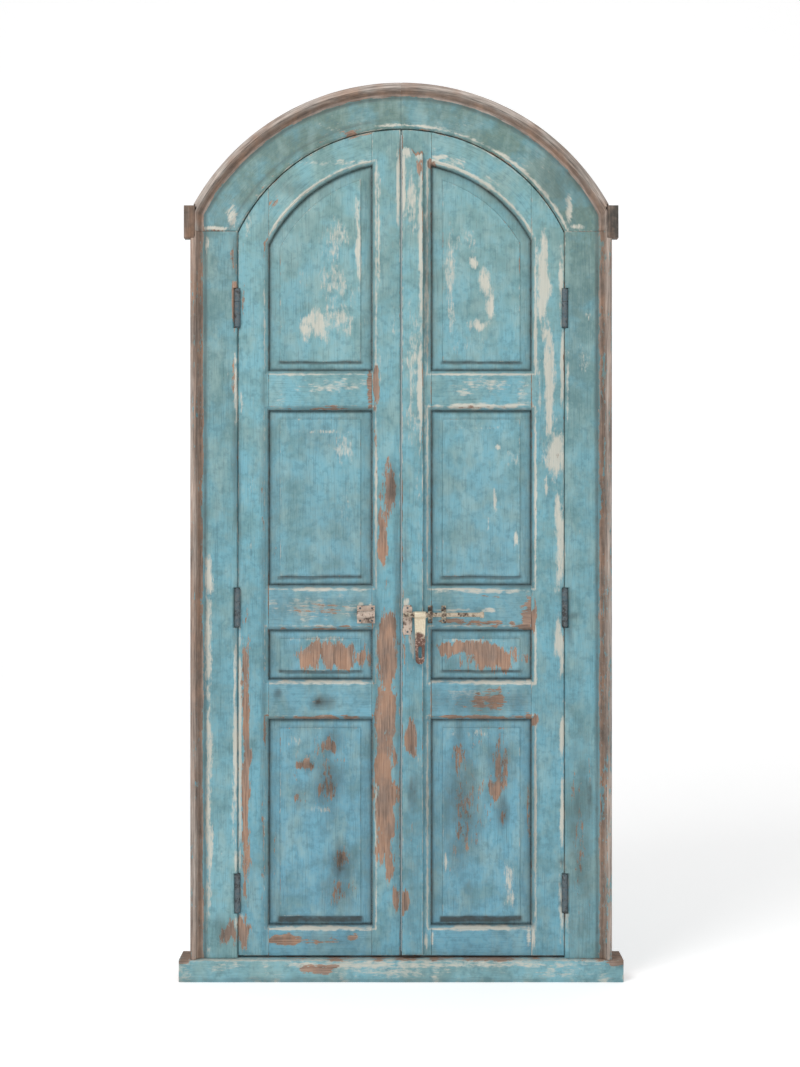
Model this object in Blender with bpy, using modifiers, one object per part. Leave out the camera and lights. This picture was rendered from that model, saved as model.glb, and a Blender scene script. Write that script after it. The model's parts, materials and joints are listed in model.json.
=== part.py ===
"""Arched two-leaf panelled door in its frame, with butt hinges and a sliding hasp bolt.

Metres, +Z up. The front faces -Y and the origin lies under the middle of the sill.
Both leaves are shut and the bolt is drawn back on to the right leaf.
"""

import math
from collections import namedtuple

import bmesh
import bpy
from mathutils import Vector

# Gap kept between two pieces that touch, and how far a cutter runs past what it cuts
GAP = 0.0003
OVERCUT = 0.010

# Frame: a sill with horns, two jambs and an arched head in two halves
FRAME_WIDTH = 1.126
FRAME_DEPTH = 0.100
SPRING_HEIGHT = 2.005
OPENING_RISE = 0.277
SHOULDER_HEIGHT = 0.054
JAMB_WIDTH = 0.123
HEAD_WIDTH = 0.118
STOP_WIDTH = 0.012
FACE_CHAMFER = 0.004
SILL_HEIGHT = 0.058
SILL_NOSE = 0.004
SILL_ROUNDING = 0.005
HORN_LENGTH = 0.0305

# Raised moulding round the outside of the frame: a rounded list, a fillet and a cove
RIM_WIDTH = 0.038
RIM_PROJECTION = 0.018
RIM_LIST = 0.015
RIM_ROUNDING = 0.007
RIM_FILLET = 0.002

# Cleats let into the sides of the frame across the joint of jamb and head
CLEAT_WIDTH = 0.030
CLEAT_PROUD = 0.017
CLEAT_DROP = 0.020
CLEAT_HEIGHT = 0.087
CLEAT_DEPTH = 0.034

# Leaves
LEAF_THICKNESS = 0.038
LEAF_SETBACK = 0.008
SIDE_GAP = 0.003
MEETING_GAP = 0.005
SILL_CLEARANCE = 0.006
STOP_CLEARANCE = 0.001
LEFT_HINGE_STILE = 0.082
LEFT_MEETING_STILE = 0.076
RIGHT_HINGE_STILE = 0.088
RIGHT_MEETING_STILE = 0.079
TOP_RAIL = 0.087
BOTTOM_RAIL = 0.082
LOWER_RAIL = 0.108
SHORT_PANEL = 0.132
LOCK_RAIL = 0.121
LOCK_RAIL_HEIGHT = 0.937
UPPER_RAIL = 0.108
UPPER_RAIL_HEIGHT = 1.526

# Moulded edge of the stiles and rails, and the groove that holds the panels
MOULDING_WIDTH = 0.010
MOULDING_DEPTH = 0.010
MOULDING_QUIRK = 0.0015
GROOVE_DEPTH = 0.009
TONGUE_LENGTH = 0.008
TONGUE_SETBACK = 0.014
TONGUE_CLEARANCE = 0.0004

# Raised and fielded panels
PANEL_THICKNESS = 0.019
FIELD_SETBACK = 0.005
FIELD_STEP = 0.003
BEVEL_SIDE = 0.029
BEVEL_END = 0.022

# Cover strip nailed down the meeting edge of the right leaf
STRIP_WIDTH = 0.056
STRIP_THICKNESS = 0.012
STRIP_TOP_DROP = 0.049
STRIP_FOOT = 0.004
STRIP_ROUNDING = 0.003

# Butt hinges, three to a leaf
LOWER_HINGE_RISE = 0.168
UPPER_HINGE_DROP = 0.205
HINGE_LENGTH = 0.100
HINGE_RADIUS = 0.008
HINGE_AXIS_SETBACK = 0.004
HINGE_PLATE = 0.0022
HINGE_PLATE_WIDTH = 0.032
HINGE_PLATE_PLAY = 0.0006
PIN_RADIUS = 0.003
PIN_CLEARANCE = 0.0005
PIN_HEAD_RADIUS = 0.0055
PIN_HEAD_HEIGHT = 0.003
POCKET_CLEARANCE = 0.0007

# Sliding bolt: a round rod with two collars and an end knob
BOLT_RISE = 0.042
BOLT_RADIUS = 0.006
BOLT_TIP_SETBACK = 0.0025
BOLT_LENGTH = 0.216
COLLAR_RADIUS = 0.0085
COLLAR_WIDTH = 0.003
KNOB_RADIUS = 0.0085
KNOB_LENGTH = 0.010

# Hasp that turns on the rod between the collars
HASP_FROM_TIP = 0.0455
HASP_WIDTH = 0.030
HASP_END_WIDTH = 0.024
HASP_LENGTH = 0.132
HASP_THICKNESS = 0.004
HASP_WALL = 0.0026
HASP_CLEARANCE = 0.0005
HASP_SIDE_PLAY = 0.0006
HASP_STRIP_CLEARANCE = 0.0015
SLOT_WIDTH = 0.009
SLOT_LENGTH = 0.032
SLOT_END_MARGIN = 0.016

# Bent iron straps that hold the rod, and the wider one that catches it
STRAP_THICKNESS = 0.003
STRAP_CLEARANCE = 0.0008
STRAP_FOOT = 0.014
GUIDE_WIDTH = 0.012
GUIDE_CLEARANCE = 0.0029
GUIDE_SPACING = 0.036
KEEPER_SETBACK = 0.0675
KEEPER_WIDTH = 0.048
KEEPER_THICKNESS = 0.0018
KEEPER_CLEARANCE = 0.0020

# Iron plate under the tip of the bolt
WEAR_PLATE_SETBACK = 0.0015
WEAR_PLATE_WIDTH = 0.026
WEAR_PLATE_HEIGHT = 0.080
WEAR_PLATE_DROP = 0.014
WEAR_PLATE_THICKNESS = 0.0012

# Fineness of arcs and round pieces
ARC_STEPS = 16
ROUND_STEPS = 14
MOULDING_STEPS = 3

# Places along Y that follow from the sizes above, with the whole depth centred on the origin
HASP_RADIUS = BOLT_RADIUS + HASP_CLEARANCE + HASP_WALL
BOLT_STANDOFF = STRIP_THICKNESS + GAP + HASP_STRIP_CLEARANCE + HASP_RADIUS
STRAP_HOLD = max(STRAP_CLEARANCE + STRAP_THICKNESS, KEEPER_CLEARANCE + KEEPER_THICKNESS)
STRAP_REACH = BOLT_STANDOFF + BOLT_RADIUS + STRAP_HOLD
OVERALL_DEPTH = FRAME_DEPTH - RIM_PROJECTION - LEAF_SETBACK + STRAP_REACH
BACK = OVERALL_DEPTH / 2
RIM_FRONT = BACK - FRAME_DEPTH
FACE = RIM_FRONT + RIM_PROJECTION
LEAF_FRONT = FACE + LEAF_SETBACK
LEAF_BACK = LEAF_FRONT + LEAF_THICKNESS
HINGE_AXIS_Y = LEAF_FRONT - HINGE_AXIS_SETBACK
BOLT_Y = LEAF_FRONT - BOLT_STANDOFF

# Places along X and Z that follow from them
FRAME_HALF = FRAME_WIDTH / 2
OPENING_HALF = FRAME_HALF - JAMB_WIDTH
LEAF_EDGE = OPENING_HALF - SIDE_GAP
HINGE_AXIS_X = OPENING_HALF - SIDE_GAP / 2
LEAF_BOTTOM = SILL_HEIGHT + SILL_CLEARANCE
LOWER_RAIL_HEIGHT = LOCK_RAIL_HEIGHT - SHORT_PANEL - LOWER_RAIL
OPENING_CROWN = SPRING_HEIGHT + OPENING_RISE
CROWN_HEIGHT = OPENING_CROWN + HEAD_WIDTH
OUTER_SPRING_HEIGHT = SPRING_HEIGHT + SHOULDER_HEIGHT
HINGE_HEIGHTS = {
    "lower": LEAF_BOTTOM + LOWER_HINGE_RISE,
    "middle": LOCK_RAIL_HEIGHT + LOCK_RAIL / 2,
    "upper": SPRING_HEIGHT - UPPER_HINGE_DROP,
}
BOLT_HEIGHT = LOCK_RAIL_HEIGHT + BOLT_RISE
BOLT_TIP = MEETING_GAP / 2 + BOLT_TIP_SETBACK
HASP_PLACE = BOLT_TIP + HASP_FROM_TIP
COLLAR_START = HASP_WIDTH / 2 + HASP_SIDE_PLAY
INNER_GUIDE_PLACE = HASP_PLACE + COLLAR_START + COLLAR_WIDTH + GUIDE_CLEARANCE + GUIDE_WIDTH / 2
OUTER_GUIDE_PLACE = INNER_GUIDE_PLACE + GUIDE_SPACING
KEEPER_PLACE = -MEETING_GAP / 2 - KEEPER_SETBACK - KEEPER_WIDTH / 2

FRONT_UP = (math.pi / 2, 0, 0)
SIDE_UP = (math.pi / 2, 0, math.pi / 2)

Arch = namedtuple("Arch", "centre radius")
Opening = namedtuple("Opening", "left right bottom top arch")
Leaf = namedtuple("Leaf", "name side hinge_stile meeting_stile")

LEAVES = [
    Leaf("left", -1, LEFT_HINGE_STILE, LEFT_MEETING_STILE),
    Leaf("right", 1, RIGHT_HINGE_STILE, RIGHT_MEETING_STILE),
]


def start_scene():
    for item in list(bpy.data.objects):
        bpy.data.objects.remove(item, do_unlink=True)
    groups = []
    for name in ("arched_wooden_door", "cutters"):
        group = bpy.data.collections.new(name)
        bpy.context.scene.collection.children.link(group)
        groups.append(group)
    return groups


def finish(name, colour, roughness, metallic):
    material = bpy.data.materials.new(name)
    material.use_nodes = True
    shader = material.node_tree.nodes["Principled BSDF"]
    shader.inputs["Base Color"].default_value = (*colour, 1)
    shader.inputs["Roughness"].default_value = roughness
    shader.inputs["Metallic"].default_value = metallic
    return material


# Outlines, as (x, z) points


def arch_through(half_span, spring_height, crown_height):
    rise = crown_height - spring_height
    radius = (half_span ** 2 + rise ** 2) / (2 * rise)
    return Arch(crown_height - radius, radius)


def shrink(arch, inset):
    return Arch(arch.centre, arch.radius - inset)


def arc_points(arch, start, end, steps=ARC_STEPS):
    first = math.asin(start / arch.radius)
    last = math.asin(end / arch.radius)
    points = []
    for step in range(steps + 1):
        angle = first + (last - first) * step / steps
        points.append((arch.radius * math.sin(angle), arch.centre + arch.radius * math.cos(angle)))
    return points


def outline(opening, inset_side, inset_end, steps=ARC_STEPS):
    left = opening.left + inset_side
    right = opening.right - inset_side
    bottom = opening.bottom + inset_end
    if opening.arch is None:
        top = opening.top - inset_end
        return [(left, bottom), (right, bottom), (right, top), (left, top)]
    arc = arc_points(shrink(opening.arch, inset_side), right, left, steps)
    return [(left, bottom), (right, bottom), *arc]


# Makers of meshes


def add_object(name, mesh, location, rotation=(0, 0, 0)):
    item = bpy.data.objects.new(name, mesh)
    item.location = location
    item.rotation_euler = rotation
    parts.objects.link(item)
    return item


def mesh_from(name, build):
    mesh = bpy.data.meshes.new(name)
    work = bmesh.new()
    build(work)
    bmesh.ops.recalc_face_normals(work, faces=work.faces)
    work.to_mesh(mesh)
    work.free()
    return mesh


def box(name, x, y, z):
    low = Vector((min(x), min(y), min(z)))
    high = Vector((max(x), max(y), max(z)))

    def build(work):
        bmesh.ops.create_cube(work, size=1)
        bmesh.ops.scale(work, vec=high - low, verts=work.verts)

    return add_object(name, mesh_from(name, build), (low + high) / 2)


def cylinder(name, radius, length, location, rotation=(0, 0, 0)):
    def build(work):
        bmesh.ops.create_cone(
            work, cap_ends=True, segments=ROUND_STEPS, radius1=radius, radius2=radius, depth=length
        )

    item = add_object(name, mesh_from(name, build), location, rotation)
    smooth(item)
    return item


def loft(name, sections):
    """A closed solid through outlines of equally many (x, z) points, each at its own y."""

    def build(work):
        rings = []
        for y, points in sections:
            rings.append([work.verts.new((x, y, z)) for x, z in points])
        for ring, following in zip(rings, rings[1:]):
            for index in range(len(ring)):
                after = (index + 1) % len(ring)
                work.faces.new((ring[index], ring[after], following[after], following[index]))
        work.faces.new(rings[0])
        work.faces.new(rings[-1])

    return add_object(name, mesh_from(name, build), (0, 0, 0))


def plate(name, points, thickness, location=(0, 0, 0), rotation=FRONT_UP, hole=None):
    """A flat outline given a thickness, made from a 2D curve and turned into a mesh."""
    curve = bpy.data.curves.new(name, "CURVE")
    curve.dimensions = "2D"
    curve.fill_mode = "BOTH"
    curve.extrude = thickness / 2
    for ring in [points] + ([hole] if hole else []):
        spline = curve.splines.new("POLY")
        spline.points.add(len(ring) - 1)
        for point, (across, up) in zip(spline.points, ring):
            point.co = (across, up, 0, 1)
        spline.use_cyclic_u = True
    drawn = add_object(name + "_drawn", curve, location, rotation)
    graph = bpy.context.evaluated_depsgraph_get()
    mesh = bpy.data.meshes.new_from_object(drawn.evaluated_get(graph))
    mesh.name = name
    weld = bmesh.new()
    weld.from_mesh(mesh)
    bmesh.ops.remove_doubles(weld, verts=weld.verts, dist=0.00001)
    bmesh.ops.recalc_face_normals(weld, faces=weld.faces)
    weld.to_mesh(mesh)
    weld.free()
    item = add_object(name, mesh, (0, 0, 0))
    item.matrix_world = drawn.evaluated_get(graph).matrix_world
    bpy.data.objects.remove(drawn, do_unlink=True)
    bpy.data.curves.remove(curve)
    return item


def turned(name, profile, location, rotation=(0, 0, 0)):
    """A round piece from (radius, height) points that run down its outer side."""

    def build(work):
        corners = [work.verts.new((radius, 0, height)) for radius, height in profile]
        for upper, under in zip(corners, corners[1:]):
            work.edges.new((upper, under))

    item = add_object(name, mesh_from(name, build), location, rotation)
    screw = item.modifiers.new("turn", "SCREW")
    screw.steps = ROUND_STEPS
    screw.render_steps = ROUND_STEPS
    screw.use_merge_vertices = True
    screw.merge_threshold = 0.00001
    return item


def smooth(item):
    item.data.shade_smooth()
    item.data.set_sharp_from_angle(angle=math.radians(35))


def as_cutter(item):
    parts.objects.unlink(item)
    cutters.objects.link(item)
    item.hide_render = True
    item.display_type = "WIRE"
    return item


def combine(item, others, operation="DIFFERENCE"):
    for other in others:
        step = item.modifiers.new(other.name, "BOOLEAN")
        step.operation = operation
        step.object = other
    return item


def round_edges(item, width, segments=2):
    edge = item.modifiers.new("rounding", "BEVEL")
    edge.width = width
    edge.segments = segments
    edge.limit_method = "ANGLE"
    return item


def round_marked_edges(item, width, segments, is_marked):
    """Rounds only the edges whose two ends pass the test, given as world points."""
    bpy.context.view_layer.update()
    weights = item.data.attributes.new("bevel_weight_edge", "FLOAT", "EDGE")
    place = item.matrix_world
    for edge in item.data.edges:
        ends = [place @ item.data.vertices[index].co for index in edge.vertices]
        if all(is_marked(end) for end in ends):
            weights.data[edge.index].value = 1
    step = round_edges(item, width, segments).modifiers[-1]
    step.limit_method = "WEIGHT"


def dress(item, material, parent=None):
    item.data.materials.clear()
    item.data.materials.append(material)
    if parent is not None:
        item.parent = parent
        item.matrix_parent_inverse.identity()
        item.location = item.location - parent_place(parent)
    return item


def parent_place(parent):
    place = Vector(parent.location)
    if parent.parent is not None:
        place += parent_place(parent.parent)
    return place


def axis_empty(name, location, parent=None):
    empty = bpy.data.objects.new(name, None)
    empty.location = Vector(location)
    empty.empty_display_size = 0.05
    parts.objects.link(empty)
    if parent is not None:
        empty.parent = parent
        empty.location = empty.location - parent_place(parent)
    return empty


# Frame


def frame_arches():
    outer = arch_through(FRAME_HALF, OUTER_SPRING_HEIGHT, CROWN_HEIGHT)
    inner = arch_through(OPENING_HALF, SPRING_HEIGHT, OPENING_CROWN)
    return outer, inner


def face_cutter(outer):
    """Everything in front of the flat face, inside the list of the rim."""
    frame = Opening(-FRAME_HALF, FRAME_HALF, -OVERCUT, None, outer)
    cove_width = RIM_WIDTH - RIM_LIST
    cove_depth = RIM_PROJECTION - RIM_FILLET
    sections = [(RIM_FRONT - OVERCUT, RIM_LIST)]
    for step in range(MOULDING_STEPS + 2):
        turn = math.pi / 2 * step / (MOULDING_STEPS + 1)
        depth = RIM_FRONT + RIM_FILLET + cove_depth * math.sin(turn)
        sections.append((depth, RIM_WIDTH - cove_width * math.cos(turn)))
    rings = [(y, outline(frame, inset, 0, 2 * ARC_STEPS)) for y, inset in sections]
    return as_cutter(loft("cut_face", rings))


def opening_cutter(inner):
    """The way through the frame: chamfered at the face, stepped in at the back for the stop."""
    way = Opening(-OPENING_HALF, OPENING_HALF, -OVERCUT, None, inner)
    stop = LEAF_BACK + STOP_CLEARANCE
    sections = [
        (RIM_FRONT - OVERCUT, -FACE_CHAMFER),
        (FACE, -FACE_CHAMFER),
        (FACE + FACE_CHAMFER, 0),
        (stop, 0),
        (stop, STOP_WIDTH),
        (BACK + OVERCUT, STOP_WIDTH),
    ]
    rings = [(y, outline(way, inset, 0, 2 * ARC_STEPS)) for y, inset in sections]
    return as_cutter(loft("cut_opening", rings))


def cleat_box(name, side, margin):
    inner = FRAME_HALF + CLEAT_PROUD - CLEAT_WIDTH - margin
    bottom = SPRING_HEIGHT - CLEAT_DROP
    return box(
        name,
        (side * inner, side * (FRAME_HALF + CLEAT_PROUD + 2 * margin)),
        (RIM_FRONT - margin * 2, RIM_FRONT + CLEAT_DEPTH + margin),
        (bottom - margin, bottom + CLEAT_HEIGHT + margin),
    )


def build_sill(paint):
    reach = FRAME_HALF + HORN_LENGTH
    sill = box("sill", (-reach, reach), (RIM_FRONT - SILL_NOSE, BACK), (0, SILL_HEIGHT))

    def is_top_front(point):
        return point.z > SILL_HEIGHT / 2 and point.y < 0

    round_marked_edges(sill, SILL_ROUNDING, 2, is_top_front)
    dress(sill, paint)


def build_frame(paint, bare_wood, hinge_cutters):
    outer, inner = frame_arches()
    face = face_cutter(outer)
    way = opening_cutter(inner)
    build_sill(paint)
    rough_inner = OPENING_HALF - STOP_WIDTH - OVERCUT

    def is_outer_front(point):
        reach = math.hypot(point.x, point.z - outer.centre)
        on_side = abs(point.x) > FRAME_HALF - GAP
        on_arch = point.z > OUTER_SPRING_HEIGHT - GAP and reach > outer.radius - GAP
        return point.y < RIM_FRONT + GAP and (on_side or on_arch)

    for leaf in LEAVES:
        side = leaf.side
        cleat_cut = as_cutter(cleat_box(f"cut_cleat_{leaf.name}", side, GAP))
        jamb = box(
            f"jamb_{leaf.name}",
            (side * rough_inner, side * FRAME_HALF),
            (RIM_FRONT, BACK),
            (SILL_HEIGHT + GAP, SPRING_HEIGHT - GAP / 2),
        )
        round_marked_edges(jamb, RIM_ROUNDING, MOULDING_STEPS, is_outer_front)
        combine(jamb, [face, way, cleat_cut] + hinge_cutters[leaf.name])
        dress(jamb, paint)
        foot = SPRING_HEIGHT + GAP / 2
        half = [(side * GAP / 2, foot), (side * FRAME_HALF, foot)]
        half += [(side * x, z) for x, z in arc_points(outer, FRAME_HALF, GAP / 2)]
        middle = (RIM_FRONT + BACK) / 2
        head = plate(f"head_{leaf.name}", half, FRAME_DEPTH, (0, middle, 0))
        round_marked_edges(head, RIM_ROUNDING, MOULDING_STEPS, is_outer_front)
        combine(head, [face, way, cleat_cut])
        dress(head, paint)
        dress(cleat_box(f"cleat_{leaf.name}", side, 0), bare_wood)


# Leaves


def leaf_openings(leaf, arch):
    """The four openings of a leaf inside its stiles and rails, from the bottom up."""
    edges = [
        leaf.side * (MEETING_GAP / 2 + leaf.meeting_stile),
        leaf.side * (LEAF_EDGE - leaf.hinge_stile),
    ]
    left, right = min(edges), max(edges)
    rails = [
        (LEAF_BOTTOM, BOTTOM_RAIL),
        (LOWER_RAIL_HEIGHT, LOWER_RAIL),
        (LOCK_RAIL_HEIGHT, LOCK_RAIL),
        (UPPER_RAIL_HEIGHT, UPPER_RAIL),
    ]
    openings = []
    for (height, width), (following, _) in zip(rails, rails[1:]):
        openings.append(Opening(left, right, height + width, following, None))
    height, width = rails[-1]
    openings.append(Opening(left, right, height + width, None, shrink(arch, TOP_RAIL)))
    return dict(zip(("bottom_panel", "short_panel", "tall_panel", "arched_panel"), openings)), rails


def recess_cutter(name, opening):
    """Cuts the moulded edge round an opening and the groove for its panel."""
    sections = [(LEAF_FRONT - OVERCUT, -MOULDING_WIDTH)]
    for step in range(MOULDING_STEPS + 1):
        turn = math.pi / 2 * step / MOULDING_STEPS
        rise = (MOULDING_DEPTH - MOULDING_QUIRK) * (1 - math.cos(turn))
        across = MOULDING_WIDTH * (1 - math.sin(turn))
        sections.append((LEAF_FRONT + MOULDING_QUIRK + rise, GAP - across))
    groove_front = LEAF_FRONT + TONGUE_SETBACK - TONGUE_CLEARANCE
    groove_back = LEAF_FRONT + FIELD_SETBACK + PANEL_THICKNESS + TONGUE_CLEARANCE
    sections += [
        (groove_front, GAP),
        (groove_front, -GROOVE_DEPTH),
        (groove_back, -GROOVE_DEPTH),
        (groove_back, GAP),
        (LEAF_BACK + OVERCUT, GAP),
    ]
    return as_cutter(loft(name, [(y, outline(opening, inset, inset)) for y, inset in sections]))


def build_panel(name, opening, paint, parent):
    """A board with a tongue all round, a bevel and a flat raised field in front."""
    tongue_front = LEAF_FRONT + TONGUE_SETBACK
    bevel_front = LEAF_FRONT + FIELD_SETBACK + FIELD_STEP
    step_width = FIELD_STEP / 2
    sections = [
        (LEAF_FRONT + FIELD_SETBACK + PANEL_THICKNESS, -TONGUE_LENGTH, -TONGUE_LENGTH),
        (tongue_front, -TONGUE_LENGTH, -TONGUE_LENGTH),
        (tongue_front, 0, 0),
        (bevel_front, BEVEL_SIDE, BEVEL_END),
        (LEAF_FRONT + FIELD_SETBACK, BEVEL_SIDE + step_width, BEVEL_END + step_width),
    ]
    panel = loft(name, [(y, outline(opening, side, end)) for y, side, end in sections])
    dress(panel, paint, parent)


def stile_outline(inner, outer, arch):
    low, high = min(inner, outer), max(inner, outer)
    return [(low, LEAF_BOTTOM), (high, LEAF_BOTTOM), *arc_points(arch, high, low, ARC_STEPS // 4)]


def build_leaf(leaf, arch, upper_paint, lower_paint, hinge_cutters, parent):
    openings, rails = leaf_openings(leaf, arch)
    recesses = [
        recess_cutter(f"cut_{leaf.name}_{name}", opening) for name, opening in openings.items()
    ]
    middle = (LEAF_FRONT + LEAF_BACK) / 2
    meeting_edge = leaf.side * MEETING_GAP / 2
    hinge_edge = leaf.side * LEAF_EDGE
    stiles = {
        "hinge_stile": (hinge_edge, hinge_edge - leaf.side * leaf.hinge_stile),
        "meeting_stile": (meeting_edge, meeting_edge + leaf.side * leaf.meeting_stile),
    }
    for name, (start, end) in stiles.items():
        stile = plate(
            f"{leaf.name}_{name}", stile_outline(start, end, arch), LEAF_THICKNESS, (0, middle, 0)
        )
        cuts = recesses + (hinge_cutters if name == "hinge_stile" else [])
        dress(combine(stile, cuts), upper_paint, parent)
    any_opening = openings["tall_panel"]
    left, right = any_opening.left + GAP, any_opening.right - GAP
    for name, (height, width) in zip(("bottom_rail", "lower_rail", "lock_rail", "upper_rail"), rails):
        rail = box(
            f"{leaf.name}_{name}", (left, right), (LEAF_FRONT, LEAF_BACK), (height, height + width)
        )
        paint = lower_paint if height < SPRING_HEIGHT / 2 else upper_paint
        dress(combine(rail, recesses), paint, parent)
    band = arc_points(arch, right, left) + arc_points(shrink(arch, TOP_RAIL), left, right)
    top_rail = plate(f"{leaf.name}_top_rail", band, LEAF_THICKNESS, (0, middle, 0))
    dress(combine(top_rail, recesses[-1:]), upper_paint, parent)
    for name, opening in openings.items():
        paint = lower_paint if opening.bottom < SPRING_HEIGHT / 2 else upper_paint
        build_panel(f"{leaf.name}_{name}", opening, paint, parent)


def build_cover_strip(paint, parent):
    start = MEETING_GAP / 2
    strip = box(
        "cover_strip",
        (start, start + STRIP_WIDTH),
        (LEAF_FRONT - GAP - STRIP_THICKNESS, LEAF_FRONT - GAP),
        (LEAF_BOTTOM + STRIP_FOOT, OPENING_CROWN - STRIP_TOP_DROP),
    )
    round_marked_edges(strip, STRIP_ROUNDING, 2, lambda point: point.y < LEAF_FRONT - 2 * GAP)
    dress(strip, paint, parent)


# Hinges


def hinge_span(leaf, near, far):
    """Two places along X, given as distances from the hinge axis towards the leaf."""
    return (
        leaf.side * (HINGE_AXIS_X - near),
        leaf.side * (HINGE_AXIS_X - far),
    )


def hinge_pockets(leaf, towards_leaf):
    """Recesses for the knuckles and for the two plates, in the stile or in the jamb."""
    pockets = []
    pocket_radius = HINGE_RADIUS + POCKET_CLEARANCE
    pocket_length = HINGE_LENGTH + 2 * (PIN_HEAD_HEIGHT + 3 * GAP)
    plate_outside = HINGE_PLATE_PLAY / 2 + HINGE_PLATE + GAP
    sense = 1 if towards_leaf else -1
    member = "stile" if towards_leaf else "jamb"
    for place, height in HINGE_HEIGHTS.items():
        name = f"cut_{leaf.name}_{place}_{member}"
        knuckles = cylinder(
            f"{name}_knuckles",
            pocket_radius,
            pocket_length,
            (leaf.side * HINGE_AXIS_X, HINGE_AXIS_Y, height),
        )
        mortise = box(
            f"{name}_plate",
            hinge_span(leaf, 0, sense * plate_outside),
            (HINGE_AXIS_Y, HINGE_AXIS_Y + HINGE_PLATE_WIDTH + GAP),
            (height - HINGE_LENGTH / 2 - GAP, height + HINGE_LENGTH / 2 + GAP),
        )
        pockets += [as_cutter(knuckles), as_cutter(mortise)]
    return pockets


def build_hinge_half(name, leaf, height, sense, knuckles, iron, parent):
    """One plate with its knuckles; each knuckle is a (centre height, length) pair."""
    near, far = sense * HINGE_PLATE_PLAY / 2, sense * (HINGE_PLATE_PLAY / 2 + HINGE_PLATE)
    plate_front = HINGE_AXIS_Y + HINGE_RADIUS + POCKET_CLEARANCE
    half = box(
        name,
        hinge_span(leaf, near, far),
        (plate_front, HINGE_AXIS_Y + HINGE_PLATE_WIDTH),
        (height - HINGE_LENGTH / 2, height + HINGE_LENGTH / 2),
    )
    joined = []
    for index, (centre, length) in enumerate(knuckles):
        knuckle = cylinder(
            f"join_{name}_knuckle_{index}",
            HINGE_RADIUS,
            length,
            (leaf.side * HINGE_AXIS_X, HINGE_AXIS_Y, height + centre),
        )
        neck = box(
            f"join_{name}_neck_{index}",
            hinge_span(leaf, near, far),
            (HINGE_AXIS_Y + PIN_RADIUS, plate_front + 2 * POCKET_CLEARANCE),
            (height + centre - length / 2, height + centre + length / 2),
        )
        joined += [as_cutter(neck), as_cutter(knuckle)]
    bore = cylinder(
        f"cut_{name}_bore",
        PIN_RADIUS + PIN_CLEARANCE,
        HINGE_LENGTH + OVERCUT,
        (leaf.side * HINGE_AXIS_X, HINGE_AXIS_Y, height),
    )
    combine(half, joined, "UNION")
    combine(half, [as_cutter(bore)])
    dress(half, iron, parent)


def build_hinges(leaf, iron, parent):
    third = HINGE_LENGTH / 3
    outer_knuckle = third - GAP
    for place, height in HINGE_HEIGHTS.items():
        name = f"{leaf.name}_{place}_hinge"
        ends = [(-third - GAP / 2, outer_knuckle), (third + GAP / 2, outer_knuckle)]
        build_hinge_half(f"{name}_frame_half", leaf, height, -1, ends, iron, None)
        build_hinge_half(f"{name}_leaf_half", leaf, height, 1, [(0, third - 2 * GAP)], iron, parent)
        neck = HINGE_LENGTH / 2 + GAP
        profile = [
            (0, neck + PIN_HEAD_HEIGHT),
            (PIN_HEAD_RADIUS, neck + PIN_HEAD_HEIGHT / 2),
            (PIN_HEAD_RADIUS, neck),
            (PIN_RADIUS, neck),
        ]
        profile += [(radius, -up) for radius, up in reversed(profile)]
        pin = turned(f"{name}_pin", profile, (leaf.side * HINGE_AXIS_X, HINGE_AXIS_Y, height))
        dress(pin, iron)


# Bolt, hasp and their straps


def strap_outline(thickness, clearance):
    """Section of a bent strap as (y, z) points from the leaf's face and the rod's height."""
    hole = BOLT_RADIUS + clearance
    back = hole + thickness
    foot = back + STRAP_FOOT
    points = [(-GAP, -foot), (-GAP, -hole)]
    for step in range(ARC_STEPS // 2 + 1):
        turn = math.pi * (step / (ARC_STEPS // 2) - 0.5)
        points.append((-BOLT_STANDOFF - hole * math.cos(turn), hole * math.sin(turn)))
    points += [(-GAP, hole), (-GAP, foot), (-GAP - thickness, foot), (-GAP - thickness, back)]
    for step in range(ARC_STEPS // 2 + 1):
        turn = math.pi * (0.5 - step / (ARC_STEPS // 2))
        points.append((-BOLT_STANDOFF - back * math.cos(turn), back * math.sin(turn)))
    points += [(-GAP - thickness, -back), (-GAP - thickness, -foot)]
    return points


def build_strap(name, place, width, section, iron, parent):
    strap = plate(name, section, width, (place, LEAF_FRONT, BOLT_HEIGHT), SIDE_UP)
    dress(strap, iron, parent)


def build_bolt(iron, parent):
    """The rod lies along X, so its profile is turned on end and laid down."""
    end = BOLT_TIP + BOLT_LENGTH
    chamfer = BOLT_RADIUS / 3
    profile = [
        (0, end),
        (KNOB_RADIUS - chamfer, end),
        (KNOB_RADIUS, end - chamfer),
        (KNOB_RADIUS, end - KNOB_LENGTH),
        (BOLT_RADIUS, end - KNOB_LENGTH),
    ]
    for sense in (1, -1):
        faces = sorted(
            [HASP_PLACE + sense * COLLAR_START, HASP_PLACE + sense * (COLLAR_START + COLLAR_WIDTH)],
            reverse=True,
        )
        profile += [(BOLT_RADIUS, faces[0]), (COLLAR_RADIUS, faces[0])]
        profile += [(COLLAR_RADIUS, faces[1]), (BOLT_RADIUS, faces[1])]
    profile += [(BOLT_RADIUS, BOLT_TIP + chamfer), (BOLT_RADIUS - chamfer, BOLT_TIP), (0, BOLT_TIP)]
    lying = (0, math.pi / 2, 0)
    bolt = turned("bolt", profile, (0, BOLT_Y, BOLT_HEIGHT), lying)
    dress(bolt, iron, parent)


def rounded_bar(length, start_half, end_half, steps=8):
    """A bar that hangs down from z = 0 and narrows to a round end, as (x, z) points."""
    points = [(start_half, 0)]
    for step in range(steps + 1):
        turn = math.pi * step / steps
        points.append((end_half * math.cos(turn), end_half - length - end_half * math.sin(turn)))
    points.append((-start_half, 0))
    return points


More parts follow.
